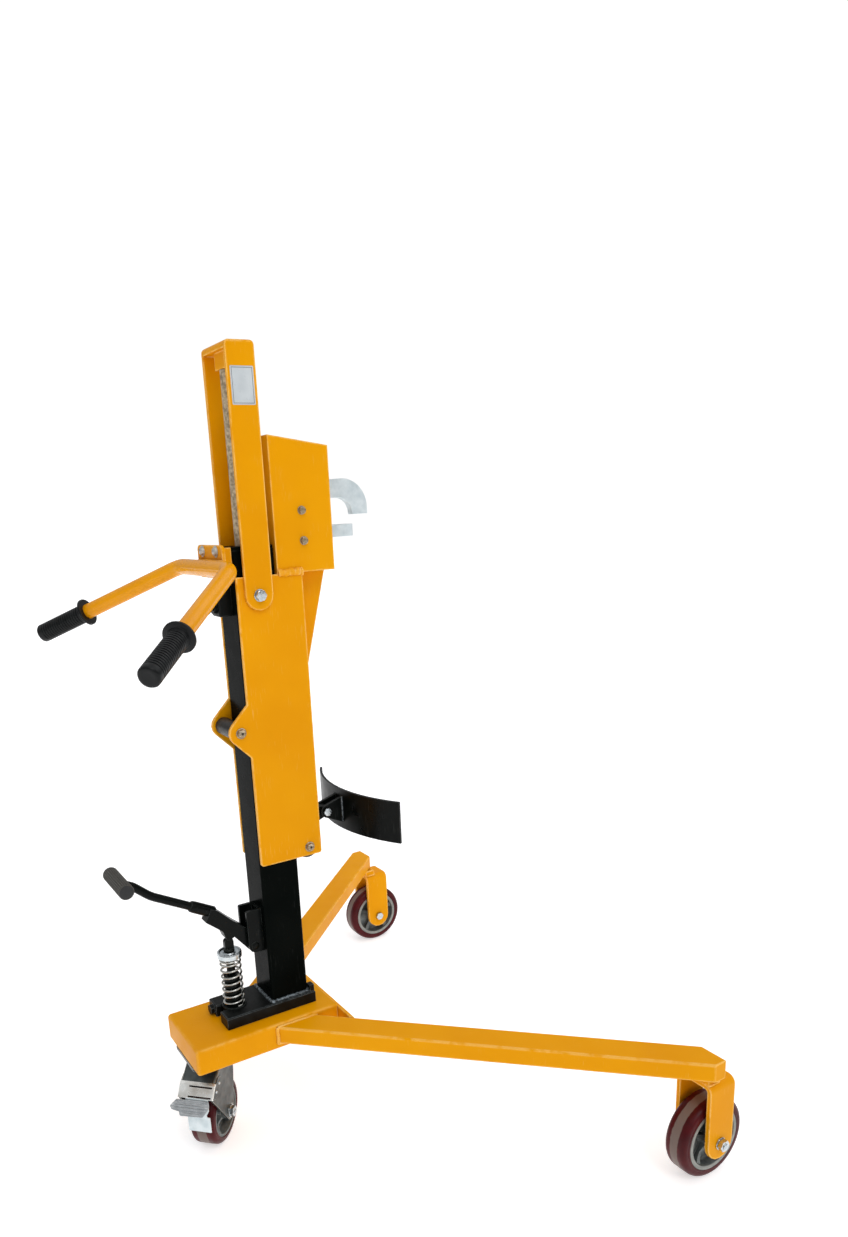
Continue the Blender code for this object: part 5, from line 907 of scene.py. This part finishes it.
slope = Vector((-math.cos(FOOT_SLOPE), -math.sin(FOOT_SLOPE)))
outward = Vector((slope.y, -slope.x))
outline = eased(FOOT_OUTLINE, closed=True, finest=math.radians(12))
plate = skin([[Vector((x, *(FOOT_HINGE + slope * run + outward * lift))) for x, run in outline]
              for lift in (0.0, FOOT_GAUGE)])
ribs = []
for run, start, stop in FOOT_RIBS:
    line = FOOT_HINGE + slope * run + outward * RIB_LIFT
    path = [Vector((start + (stop - start) * share / 6, *line)) for share in range(7)]
    ribs.append(skin(along(path, RIB_RADII, 12)))
knuckle = sideways(round_bar(*KNUCKLE), 1, KNUCKLE_ASIDE, KNUCKLE_PLACE)
piece("castor_foot_plate", together([plate, *ribs, knuckle]), foot_plate, "caster_brake",
      ("caster_brake_pedal",), edge=0.0004, stand=CASTER)


# The hydraulic block is a cast and milled block bolted down on the beam, with the mast welded
# to it, all painted satin black after assembly. Pale specks on the weld are bare metal and painted glints.
BLOCK_EDGE = 0.0012
BLACK_TONES = ((4, 7, 6), (10, 13, 11))
MAST_WELD_HALF = 0.0388
MAST_BEAD = (0.0040, 0.007)
BLOCK_TOP = 0.2724

satin_black = finish("satin_black_paint", BLACK_TONES, 0.3, patch=0.12,
                     grain=(0.002, 0.00005), worn_lit_edges=((74, 78, 76), 0.0014, 0.7),
                     scratches=((92, 96, 94), 0.25, (1, 1, 26)), shine=0.1)
rough_black = finish("black_paint_over_casting", ((9, 11, 10), (20, 23, 22)), 0.4, patch=0.02,
                     grain=(0.0016, 0.0003), worn_lit_edges=((120, 128, 130), 0.0014, 0.8), shine=0.14)
# Pale specks and edges on the welds: bare metal and painted glints.
weld_black_painted_glints = finish("black_paint_over_weld", ((28, 32, 34), (120, 130, 136)), 0.3, 0.5, patch=0.005,
                    grain=(0.001, 0.0003), worn_lit_edges=((170, 178, 182), 0.001, 0.8))
dressed(rough_black, BLOCK_EDGE, "pump_block")
corners = ((1, -1), (1, 1), (-1, 1), (-1, -1), (1, -1))
square = [(x * MAST_WELD_HALF, y * MAST_WELD_HALF, BLOCK_TOP) for x, y in corners]
piece("mast_foot_weld", weld_bead(square, *MAST_BEAD), weld_black_painted_glints, "base")


# The mast is a square steel tube, welded down on the block and painted black with it. The lift
# cylinder stands inside it, and a gland for the cylinder's rod is screwed into its top.
MAST_EDGE = 0.0008
mast_black = finish("mast_black_paint", BLACK_TONES, 0.26, patch=0.12, grain=(0.002, 0.00003),
                    worn_lit_edges=((74, 78, 76), 0.0014, 0.7), scratches=((92, 96, 94), 0.2, (1, 1, 26)), shine=0.012)
dressed(mast_black, MAST_EDGE, "mast_tube", "mast_gland")
bright_steel = finish("bright_steel", ((196, 197, 192), (172, 172, 166)), 0.22, 1.0, patch=0.02,
                      grain=(0.001, 0.00002, (1, 1, 6)))
dressed(bright_steel, 0.0, "lift_cylinder")


# The foot pump's barrel stands in the block. A spring of round wire lifts its plunger by a
# pressed cap, and the pedal's nose bears on the flat link at the plunger's top.
PUMP = (0, -0.0995, 0)
BARREL_TOP = 0.3353
SPRING = (0.0185, 0.0021, 8)
SPRING_FOOT = 0.2746
SPRING_TOP = 0.3662
COIL_STEPS = 40
CLOSED_RISE = 0.22
CLOSED_COILS = (0.9, 1.6)
CAP_TOP = 0.382
PLUNGER_TOP = 0.4077
LINK_FACES = (-0.0052, 0.0052)
SEAT_PROFILE = ((0.0165, 0.2724), (0.0236, 0.2724), (0.0236, 0.2738), (0.0225, 0.2746), (0.0165, 0.2738))
PLUNGER_PROFILE = (
    (0, 0.314), (0.008, 0.314), (0.008, 0.3823), (0.0104, 0.3823),
    (0.0104, 0.3858), (0.0088, 0.3864), (0.0088, 0.388), (0, 0.388),
)

barrel = eased([(0, 0.2724, 0), (0.015, 0.2724, 0), (0.015, BARREL_TOP, 0.0015), (0.009, BARREL_TOP, 0),
                (0.009, 0.328, 0), (0, 0.328, 0)])
parts = [spun(barrel, 64), spun(SEAT_PROFILE, 64, loop=True)]
piece("pump_barrel_tube", together(parts), satin_black, "base", ("pump_barrel",), at=PUMP)
radius, wire, coils = SPRING
steps = coils * COIL_STEPS
at_foot, at_top = CLOSED_COILS
rises = [0.0]
for step in range(1, steps + 1):
    share = step / steps
    opened = min(1.0, share * coils / at_foot, (1 - share) * coils / at_top)
    rises.append(CLOSED_RISE + (1 - CLOSED_RISE) * opened)
total = sum(rises)
height = SPRING_FOOT
path = []
for step, rise in enumerate(rises):
    a = math.tau * coils * (step / steps)
    height += (SPRING_TOP - SPRING_FOOT) * rise / total
    path.append(Vector((radius * math.cos(a), radius * math.sin(a), height)))
spring = piece("pump_spring_wire", skin(along(path, wire, 14)), bright_steel, "base",
               ("pump_spring",), at=PUMP)
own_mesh(spring)
cap = eased([
    (0.0084, 0.3694, 0), (0.0205, 0.3694, 0.001), (0.0205, 0.3705, 0), (0.0228, 0.3712, 0.0008),
    (0.0230, 0.3795, 0.001), (0.0221, CAP_TOP, 0.0008), (0.0195, CAP_TOP, 0.0008), (0.0175, 0.3785, 0.002),
    (0.0120, 0.3785, 0.001), (0.0105, 0.3812, 0.0008), (0.0084, 0.3812, 0),
], finest=math.radians(20))
piece("spring_cap_pressing", spun(cap, 64, loop=True), zinc, "pump", ("spring_cap",), at=PUMP)
outline = eased([(-0.0088, 0.387, 0), (0.0088, 0.387, 0), (0.0088, PLUNGER_TOP, 0.006),
                 (-0.0088, PLUNGER_TOP, 0.006)], closed=True)
parts = [spun(PLUNGER_PROFILE, 40), cut_plate(outline, *LINK_FACES)]
piece("pump_plunger", together(parts), satin_black, "pump",
      ("pump_piston",), edge=0.0005, at=PUMP)


# The pedal is a forged lever between two lugs on the mast, with a socket for a bent round bar
# and a ribbed rubber sleeve across its end. The rubber's top is trodden dull and grey.
PEDAL_PIVOT = (-0.0548, 0.388)
BRACKET_EDGE = 0.001
PIN_DOME = ((0, 0.0034), (0.003, 0.0032), (0.006, 0.0024), (0.0078, 0.001), (0.008, 0.0), (0, 0.0))
PIN_REACH = 0.0213
PIN_RADIUS = 0.005
LEVER_HALF = 0.012
LEVER_BACK = ((-0.067, 0.424), (-0.092, 0.4465), (-0.118, 0.4725), (-0.130, 0.478),
              (-0.142, 0.455), (-0.112, 0.429))
LEVER_BOSS = ((0, 0), (0.0115, 0), (0.0115, 0.0012), (0.0105, 0.0018), (0, 0.0018))
NOSE = (-0.0995, 0.4163)
NOSE_RADIUS = 0.008
NOSE_RELIEF = (-0.0905, 0.4123)
LEVER_END_RADIUS = 0.013
LEVER_EDGE = 0.0022
BAR_RUN = ((-0.125, 0.4684, 0), (-0.233, 0.528, 0.075), (-0.2606, 0.553, 0.026), (-0.2846, 0.566, 0))
BAR_RADIUS = 0.0076
BAR_SOCKET = ((0, -0.004), (0.0095, -0.004), (0.0108, -0.002), (0.0108, 0.036), (0.0102, 0.043),
              (0.0088, 0.045), (0, 0.045))
PAD_CENTRE = (0, -0.2846, 0.566)
PAD_RADIUS = 0.0135
PAD_HALF = 0.050
PAD_RIB = 0.0011
PAD_RIBS = 24
PAD_SHOULDER = ((0.93, 1.0), (0.965, 1.0), (0.985, 0.985), (1, 0.93))
PAD_END = ((0, 0.0006), (0.0105, 0.0006), (0.0122, 0.0), (0.0122, -0.001), (0, -0.001))

dressed(satin_black, BRACKET_EDGE, "pedal_bracket")
parts = [sideways(spun(PIN_DOME, 32), side, PIN_REACH, PEDAL_PIVOT) for side in (-1, 1)]
parts.append(sideways(round_bar(PIN_RADIUS, -PIN_REACH, PIN_REACH), place=PEDAL_PIVOT))
piece("pedal_pivot_pin", together(parts), satin_black, "base", ("pedal_pin",))
outline = [*LEVER_BACK] + round_about(LEVER_BACK[-1], NOSE, NOSE_RADIUS, NOSE_RELIEF)
outline += [NOSE_RELIEF] + round_about(NOSE_RELIEF, PEDAL_PIVOT, LEVER_END_RADIUS, LEVER_BACK[0])
parts = [cut_plate(outline, -LEVER_HALF, LEVER_HALF)]
for side in (-1, 1):
    parts.append(sideways(spun(LEVER_BOSS, 40), side, LEVER_HALF, PEDAL_PIVOT))
piece("pedal_forging", together(parts), satin_black, "pedal",
      ("pedal_lever",), edge=LEVER_EDGE)
bar = [Vector((0, y, z)) for y, z in eased(BAR_RUN)]
root, knee = [Vector((0, y, z)) for y, z, bend in BAR_RUN[:2]]
parts = [skin(along(bar, BAR_RADIUS, 32)), facing(spun(BAR_SOCKET, 40), (knee - root).normalized(), root)]
piece("pedal_bar", together(parts), satin_black, "pedal")
pad_rings = []
for height, share in [(-height, share) for height, share in reversed(PAD_SHOULDER)] + [*PAD_SHOULDER]:
    points = []
    for corner in range(6 * PAD_RIBS):
        a = math.tau * corner / (6 * PAD_RIBS)
        rib = PAD_RIB * max(0.0, math.cos(a * PAD_RIBS)) if abs(height) < 0.95 else PAD_RIB
        reach = (PAD_RADIUS - PAD_RIB + rib) * share
        points.append(Vector((height * PAD_HALF, reach * math.cos(a), reach * math.sin(a))))
    pad_rings.append(points)
pad_rubber = finish("trodden_rubber", ((58, 57, 52), (38, 38, 36)), 0.62, patch=0.02,
                    grain=(0.0012, 0.0002, (6, 1, 1)), worn_lit_edges=((104, 100, 90), 0.0014, 0.9))
end_rubber = finish("moulded_rubber", ((16, 17, 18), (24, 25, 26)), 0.5, patch=0.02,
                    grain=(0.001, 0.00005))
piece("pedal_sleeve", skin(pad_rings), pad_rubber, "pedal", ("pedal_pad",), at=PAD_CENTRE)
caps = [sideways(spun(PAD_END, 48), side, PAD_HALF) for side in (-1, 1)]
piece("pedal_sleeve_ends", together(caps), end_rubber, "pedal", at=PAD_CENTRE)


# The handle is a round tube bent back on both sides, welded across a plate that two cap
# screws hold to a channel on the mast. Black rubber grips are pushed over its ends.
HANDLE_CORNER = Vector((0.1175, -0.0756, 1.0793))
ARM = Vector((0.657, -0.663, -0.360)).normalized()
ARM_LENGTH = 0.3147
HANDLE_BEND = 0.045
TUBE_RADIUS = 0.0135
PLATE = (0.056, -0.0631, -0.0571, 1.062, 1.116)
PLATE_CORNER = 0.010
TUBE_BEAD = (0.054, -0.0640, 0.0020)
TUBE_BEAD_HEIGHTS = (1.0905, 1.0681)
SCREWS = (0.030, 1.1058)
SCREW_DOME = ((0, 0.0062), (0.003, 0.0060), (0.0055, 0.0050), (0.0072, 0.0030), (0.0078, 0.0008),
              (0.0078, 0.0), (0, 0.0))
SCREW_WASHER = (0.0096, 0.0012, 0.004)
GRIP_RADIUS = 0.0168
GRIP_LENGTH = 0.110
GRIP_RINGS = 17
GRIP_NOSE = 0.011
GRIP_NECK = 0.012
GRIP_GROOVE = ((0.15, 0.0), (0.32, 0.0017), (0.6, 0.0017), (0.77, 0.0))
GRIP_PAST_TUBE = 0.0043


def rounded_oblong(left, right, foot, top, radius):
    """Outline of an oblong with rounded corners."""
    corners = ((left, foot), (right, foot), (right, top), (left, top))
    return eased([(*corner, radius) for corner in corners], closed=True)


dressed(yellow_coat, 0.001, "handle_bracket")
end = HANDLE_CORNER + ARM * ARM_LENGTH
right = [(*end, 0), (*HANDLE_CORNER, HANDLE_BEND)]
left = [(-x, y, z, radius) for x, y, z, radius in reversed(right)]
tube = skin(along(eased(right + left, finest=math.radians(5)), TUBE_RADIUS, 48))
half, rear, front, foot, top = PLATE
plate = cross_plate(rounded_oblong(-half, half, foot, top, PLATE_CORNER), rear, front)
x, y, size = TUBE_BEAD
bead = [weld_bead([(-x, y, z), (x, y, z)], size) for z in TUBE_BEAD_HEIGHTS]
handle_coat = finish("handle_powder_coat", (YELLOW, YELLOW_SHADE), 0.22, patch=0.12,
                     grain=(0.004, 0.00001), dust_and_corner_shade=(PAINT_DUST_SHADE, 0.02, 0.5), shine=0.22)
piece("handle_tube", tube, handle_coat, "base", ("handle_bar",))
piece("handle_plate", plate, yellow_coat, "base", edge=0.0012)
piece("handle_weld_beads", together(bead), yellow_coat, "base")
screws = []
for side in (-1, 1):
    place = (side * SCREWS[0], rear, SCREWS[1])
    screws.append(facing(spun(SCREW_DOME, 32), (0, -1, 0), place))
    screws.append(facing(washer(*SCREW_WASHER), (0, -1, 0), place))
dull_zinc = finish("dull_zinc", ((206, 204, 198), (168, 166, 158)), 0.4, 0.5, patch=0.008,
                   grain=(0.001, 0.00005), worn_lit_edges=((204, 206, 204), 0.001, 0.7))
piece("handle_cap_screws", together(screws), dull_zinc, "base")

grip_rubber = finish("grip_rubber", ((5, 7, 8), (13, 15, 16)), 0.36, patch=0.03, shine=0.22,
                     grain=(0.0012, 0.00002), worn_lit_edges=((58, 62, 62), 0.0012, 0.5))
profile = [(0, 0.0012), (0.009, 0.0005), (0.0125, 0.0), (0.0152, 0.0009), (GRIP_RADIUS, 0.0035),
           (GRIP_RADIUS, GRIP_NOSE)]
pitch = (GRIP_LENGTH - GRIP_NOSE - GRIP_NECK) / GRIP_RINGS
for groove in range(GRIP_RINGS):
    for share, depth in GRIP_GROOVE:
        profile.append((GRIP_RADIUS - depth, GRIP_NOSE + pitch * (groove + share)))
profile += [(GRIP_RADIUS, 0.099), (0.0178, 0.1035), (0.0234, 0.1050), (0.0248, 0.1060), (0.0248, 0.1085),
            (0.0240, GRIP_LENGTH), (0.0141, GRIP_LENGTH), (0.0141, 0.006), (0, 0.006)]
for prefix, side in SIDES:
    reach = Vector((side * ARM.x, ARM.y, ARM.z))
    corner = Vector((side * HANDLE_CORNER.x, HANDLE_CORNER.y, HANDLE_CORNER.z))
    place = corner + reach * (ARM_LENGTH + GRIP_PAST_TUBE)
    piece(f"{prefix}_hand_grip", facing(spun(profile, 72), -reach), grip_rubber, "base",
          (f"{prefix}_grip",), at=place)


# The release valve sits under the handle: a small milled block with a boss, and a black ball
# knob on a short spindle that lets the load down as it is turned.
KNOB_PLACE = (0, -0.0815, 1.012)
KNOB_RADIUS = 0.012
KNOB_NECK = (0.004, 0.0134)
KNOB_NECK_ANGLE = 0.34

dressed(satin_black, 0.0008, "release_valve_block")
knob = [(0, KNOB_NECK[1]), KNOB_NECK]
for step in range(1, 25):
    a = KNOB_NECK_ANGLE + (math.pi - KNOB_NECK_ANGLE) * step / 24
    knob.append((KNOB_RADIUS * math.sin(a), KNOB_RADIUS * math.cos(a)))
knob[-1] = (0, -KNOB_RADIUS)
gloss_plastic = finish("ball_knob_plastic", ((9, 9, 10), (14, 14, 15)), 0.16, patch=0.02,
                       grain=(0.004, 0.00003))
piece("release_ball_knob", facing(spun(knob, 48), (0, 1, 0)), gloss_plastic, "release_knob",
      ("release_knob",), at=KNOB_PLACE)


# The carriage is two cut plates and a front plate welded into a channel that slides on the
# mast, with a guide roller at the top rear and one at the bottom front, on socket screws.
PLATE_EDGE = 0.0009
PLATE_FACE = 0.0443
ROLLERS = (("rear", (-0.0535, 0.799), 0.0157), ("front", (0.0609, 0.564), 0.0231))
ROLLER_HALF = 0.0373
ROLLER_BORE = 0.0053
ROLLER_SOFT = 0.0015
ROLLER_HEAD = (0.0078, 0.006, 0.005, 0.003)
ROLLER_WASHER = (0.0094, 0.0012, 0.005)
ROLLER_NUT = (0.015, 0.006)
SCREW_RADIUS = 0.005
SCREW_END = 0.005

dressed(yellow_coat, PLATE_EDGE, "right_side_plate", "left_side_plate", "carriage_front_plate")
roller_steel = finish("roller_steel", ((44, 45, 42), (32, 33, 31)), 0.42, 0.5, patch=0.015,
                      grain=(0.001, 0.0001, (1, 8, 8)), worn_lit_edges=((96, 96, 90), 0.0016, 0.8))


def socket_screw(radius, height, flats, depth):
    """Round head, domed at its rim, with a hexagon socket broached in it."""
    rings = [[Vector((0, 0, 0))]]
    for share, up in ((1, 0), (1, 0.45), (0.95, 0.8), (0.78, 1)):
        rings.append(ring_about(48, lambda a: (radius * share, height * up)))
    for up in (height, height - depth):
        rings.append(ring_about(48, lambda a: (hexagon_reach(a, flats), up)))
    rings.append([Vector((0, 0, height - depth))])
    return skin(rings)


browned_zinc = finish("browned_zinc", ((190, 172, 142), (128, 112, 90)), 0.34, 0.85, patch=0.004,
                      grain=(0.002, 0.00001), worn_lit_edges=((232, 226, 214), 0.001, 0.7),
                      dust_and_corner_shade=((52, 40, 28), 0.005, 0.8))
for name, place, radius in ROLLERS:
    half, bore, soft = ROLLER_HALF, ROLLER_BORE, ROLLER_SOFT
    profile = [(bore, -half), (radius - soft, -half), (radius, -half + soft), (radius, half - soft),
               (radius - soft, half), (bore, half)]
    piece(f"{name}_roller", sideways(spun(profile, 64, loop=True)), roller_steel, f"{name}_roller",
          (f"{name}_guide_roller",), at=(0, *place))
    parts = [
        sideways(socket_screw(*ROLLER_HEAD), 1, PLATE_FACE),
        sideways(washer(*ROLLER_WASHER), 1, PLATE_FACE),
        sideways(hexagon(*ROLLER_NUT, both=True), -1, PLATE_FACE),
        sideways(thread(SCREW_RADIUS, -PLATE_FACE, PLATE_FACE + SCREW_END), -1),
    ]
    piece(f"{name}_roller_screw", together(parts), browned_zinc, "carriage",
          (f"{name}_guide_roller_bolt",), at=(0, *place))


# The yoke hangs the carriage from the piston rod: flat bar bent over the mast, pinned to the
# side plates by two bolts, with a block under its top that sits on the ground steel rod. A
# bare capacity plate, white with a thin printed border, is stuck on its right side.
YOKE_EDGE = 0.0012
YOKE_BOLT = (0, 0.0, 1.030)
YOKE_FACE = 0.0506
YOKE_HEAD = (0.0165, 0.0078)
YOKE_WASHER = (0.0105, 0.0012, 0.007)
YOKE_SHANK = (0.007, 0.0378, YOKE_FACE)
ROD_RADIUS = 0.015
PISTON = (0.0197, 0.569, 0.589)
ROD_TOP = 1.389
ROD_SOFT = 0.0005
CAPACITY_PLATE = (-0.0195, 0.0205, 1.330, 1.388)
CAPACITY_CORNER = 0.002
CAPACITY_FACES = (0.0502, 0.0507)
BORDER_FACES = (0.0506, 0.0508)
BORDER_INSET = 0.0022
BORDER_WIDTH = 0.0007

dressed(yellow_coat, YOKE_EDGE, "yoke")
rod_steel = finish("grubby_rod_steel", ((208, 192, 160), (138, 124, 100)), 0.42, 0.35, patch=0.006,
                   grain=(0.002, 0.0001, (1, 1, 3)), dust_and_corner_shade=((60, 56, 48), 0.008, 0.5))
wide, foot, shoulder = PISTON
rod = [(0, foot), (wide, foot), (wide, shoulder), (ROD_RADIUS, shoulder), (ROD_RADIUS, ROD_TOP - ROD_SOFT),
       (ROD_RADIUS - ROD_SOFT, ROD_TOP), (0, ROD_TOP)]
piece("ground_piston_rod", spun(rod, 64), rod_steel, "carriage", ("piston_rod",))
for prefix, side in SIDES:
    parts = [
        sideways(hexagon(*YOKE_HEAD), side, YOKE_FACE + 0.0010),
        sideways(washer(*YOKE_WASHER), side, YOKE_FACE - 0.0002),
        sideways(round_bar(*YOKE_SHANK, 32), side),
    ]
    piece(f"{prefix}_yoke_pin_bolt", together(parts), zinc, "carriage",
          (f"{prefix}_yoke_bolt",), at=YOKE_BOLT)

plate_white = finish("plate_white", ((206, 212, 214), (190, 197, 200)), 0.3, patch=0.03,
                     grain=(0.004, 0.00002))
plate_ink = finish("plate_border_ink", ((60, 62, 66), (76, 78, 82)), 0.4, patch=0.02,
                   grain=(0.004, 0.00001))
rear, front, foot, top = CAPACITY_PLATE
sheet = cut_plate(rounded_oblong(rear, front, foot, top, CAPACITY_CORNER), *CAPACITY_FACES)
piece("capacity_plate", sheet, plate_white, "carriage")
loops = []
for inset in (BORDER_INSET, BORDER_INSET + BORDER_WIDTH):
    loops.append([(rear + inset, foot + inset), (front - inset, foot + inset),
                  (front - inset, top - inset), (rear + inset, top - inset)])
outer, inner = loops
lines = []
for a, b in ((0, 1), (1, 2), (2, 3), (3, 0)):
    lines.append(cut_plate([outer[a], outer[b], inner[b], inner[a]], *BORDER_FACES))
piece("capacity_plate_border", together(lines), plate_ink, "carriage")


# The clamp housing is folded from plate, open at the front, and welded on top of the carriage
# with a rib under it. Two bolts through its sides carry the jaws.
HOUSING_EDGE = 0.0022
UPPER_PIN = (0.0915, 1.164)
LOWER_PIN = (0.092, 1.114)
JAW_HEAD = (0.0108, 0.0052)
JAW_WASHER = (0.0072, 0.0012, 0.005)
JAW_NUT = (0.0135, 0.0060)
SIDE_SEAMS = (
    (0.0432, (0.0395, 1.0635), (0.0848, 1.0635), 0.0070, 0.010),
    (0.0055, (0.0846, 0.826), (0.0846, 1.060), 0.0018, 0.0045),
    (0.0376, (0.0846, 0.60), (0.0846, 1.058), 0.0016, 0.0045),
)
FRONT_SEAM = (0.040, 0.0850, 1.0615)
FRONT_BEAD = (0.0030, 0.006)

dressed(yellow_coat, HOUSING_EDGE, "clamp_housing")
dressed(yellow_coat, 0.0008, "housing_gusset")
seams = []
for side in (-1, 1):
    for x, start, end, size, pitch in SIDE_SEAMS:
        seams.append(weld_bead([(side * x, *start), (side * x, *end)], size, pitch))
x, y, z = FRONT_SEAM
seams.append(weld_bead([(-x, y, z), (x, y, z)], *FRONT_BEAD))
piece("housing_weld_beads", together(seams), yellow_coat, "carriage")
for name, place in (("upper", UPPER_PIN), ("lower", LOWER_PIN)):
    parts = [
        sideways(hexagon(*JAW_HEAD), 1, PLATE_FACE + 0.001),
        sideways(washer(*JAW_WASHER), 1, PLATE_FACE - 0.0002),
        sideways(hexagon(*JAW_NUT, both=True), -1, PLATE_FACE),
        sideways(thread(SCREW_RADIUS, -PLATE_FACE, PLATE_FACE + SCREW_END), -1),
    ]
    piece(f"{name}_jaw_bolt", together(parts), browned_zinc, "carriage",
          (f"{name}_jaw_pin",), at=(0, *place))


# The upper jaw is a beak cut from thick plate that swings down by its own weight. The lower jaw
# is a round-nosed bar under it, so that a rim is held between them. Both are zinc plated.
THROAT_REAR = (0.140, 1.182)
BEAK_RUN = (
    (*THROAT_REAR, 0), (0.207, 1.182, 0.026), (0.2105, 1.1525, 0), (0.242, 1.1525, 0),
    (0.242, 1.217, 0.050), (0.150, 1.213, 0.030), (*UPPER_PIN, 0),
)
BEAK_BOSS = 0.016
BEAK_HALF = 0.008
BEAK_SLEEVE = (0.0053, 0.010, 0.0078, 0.0375)

path = eased(BEAK_RUN, finest=math.radians(5))[:-1]
outline = path + round_about(path[-1], UPPER_PIN, BEAK_BOSS, THROAT_REAR)
parts = [cut_plate(outline, -BEAK_HALF, BEAK_HALF)]
for side in (-1, 1):
    parts.append(sideways(collar(*BEAK_SLEEVE, 40), side, place=UPPER_PIN))
piece("beak_plate", together(parts), pale_zinc, "upper_jaw", ("upper_jaw",), edge=0.0009)
dressed(pale_zinc, 0.0008, "lower_jaw")


# The rest is a curved band on a bolt through a stub on the carriage, so that it tilts to lie
# flat on what it carries. It is painted black, with weld round its lugs whose pale specks are
# bare metal and painted glints.
REST_BOLT = (0.116, 0.613)
REST_FACE = 0.0156
REST_HEXAGON = (0.014, 0.005)
REST_THREAD_END = 0.0195
LUG_SEAM = (0.0155, 0.1488, 0.588, 0.636)
LUG_BEAD = 0.0020

dressed(satin_black, 0.0008, "drum_rest", "rest_bracket")
parts = [
    sideways(hexagon(*REST_HEXAGON), 1, REST_FACE),
    sideways(hexagon(*REST_HEXAGON, both=True), -1, REST_FACE),
    sideways(thread(SCREW_RADIUS, -REST_FACE, REST_THREAD_END), -1),
]
piece("rest_pivot_bolt", together(parts), zinc, "carriage", ("rest_bolt",), at=(0, *REST_BOLT))
x, y, foot, top = LUG_SEAM
beads = [weld_bead([(side * x, y, foot), (side * x, y, top)], LUG_BEAD) for side in (-1, 1)]
piece("rest_lug_welds", together(beads), weld_black_painted_glints, "drum_rest")
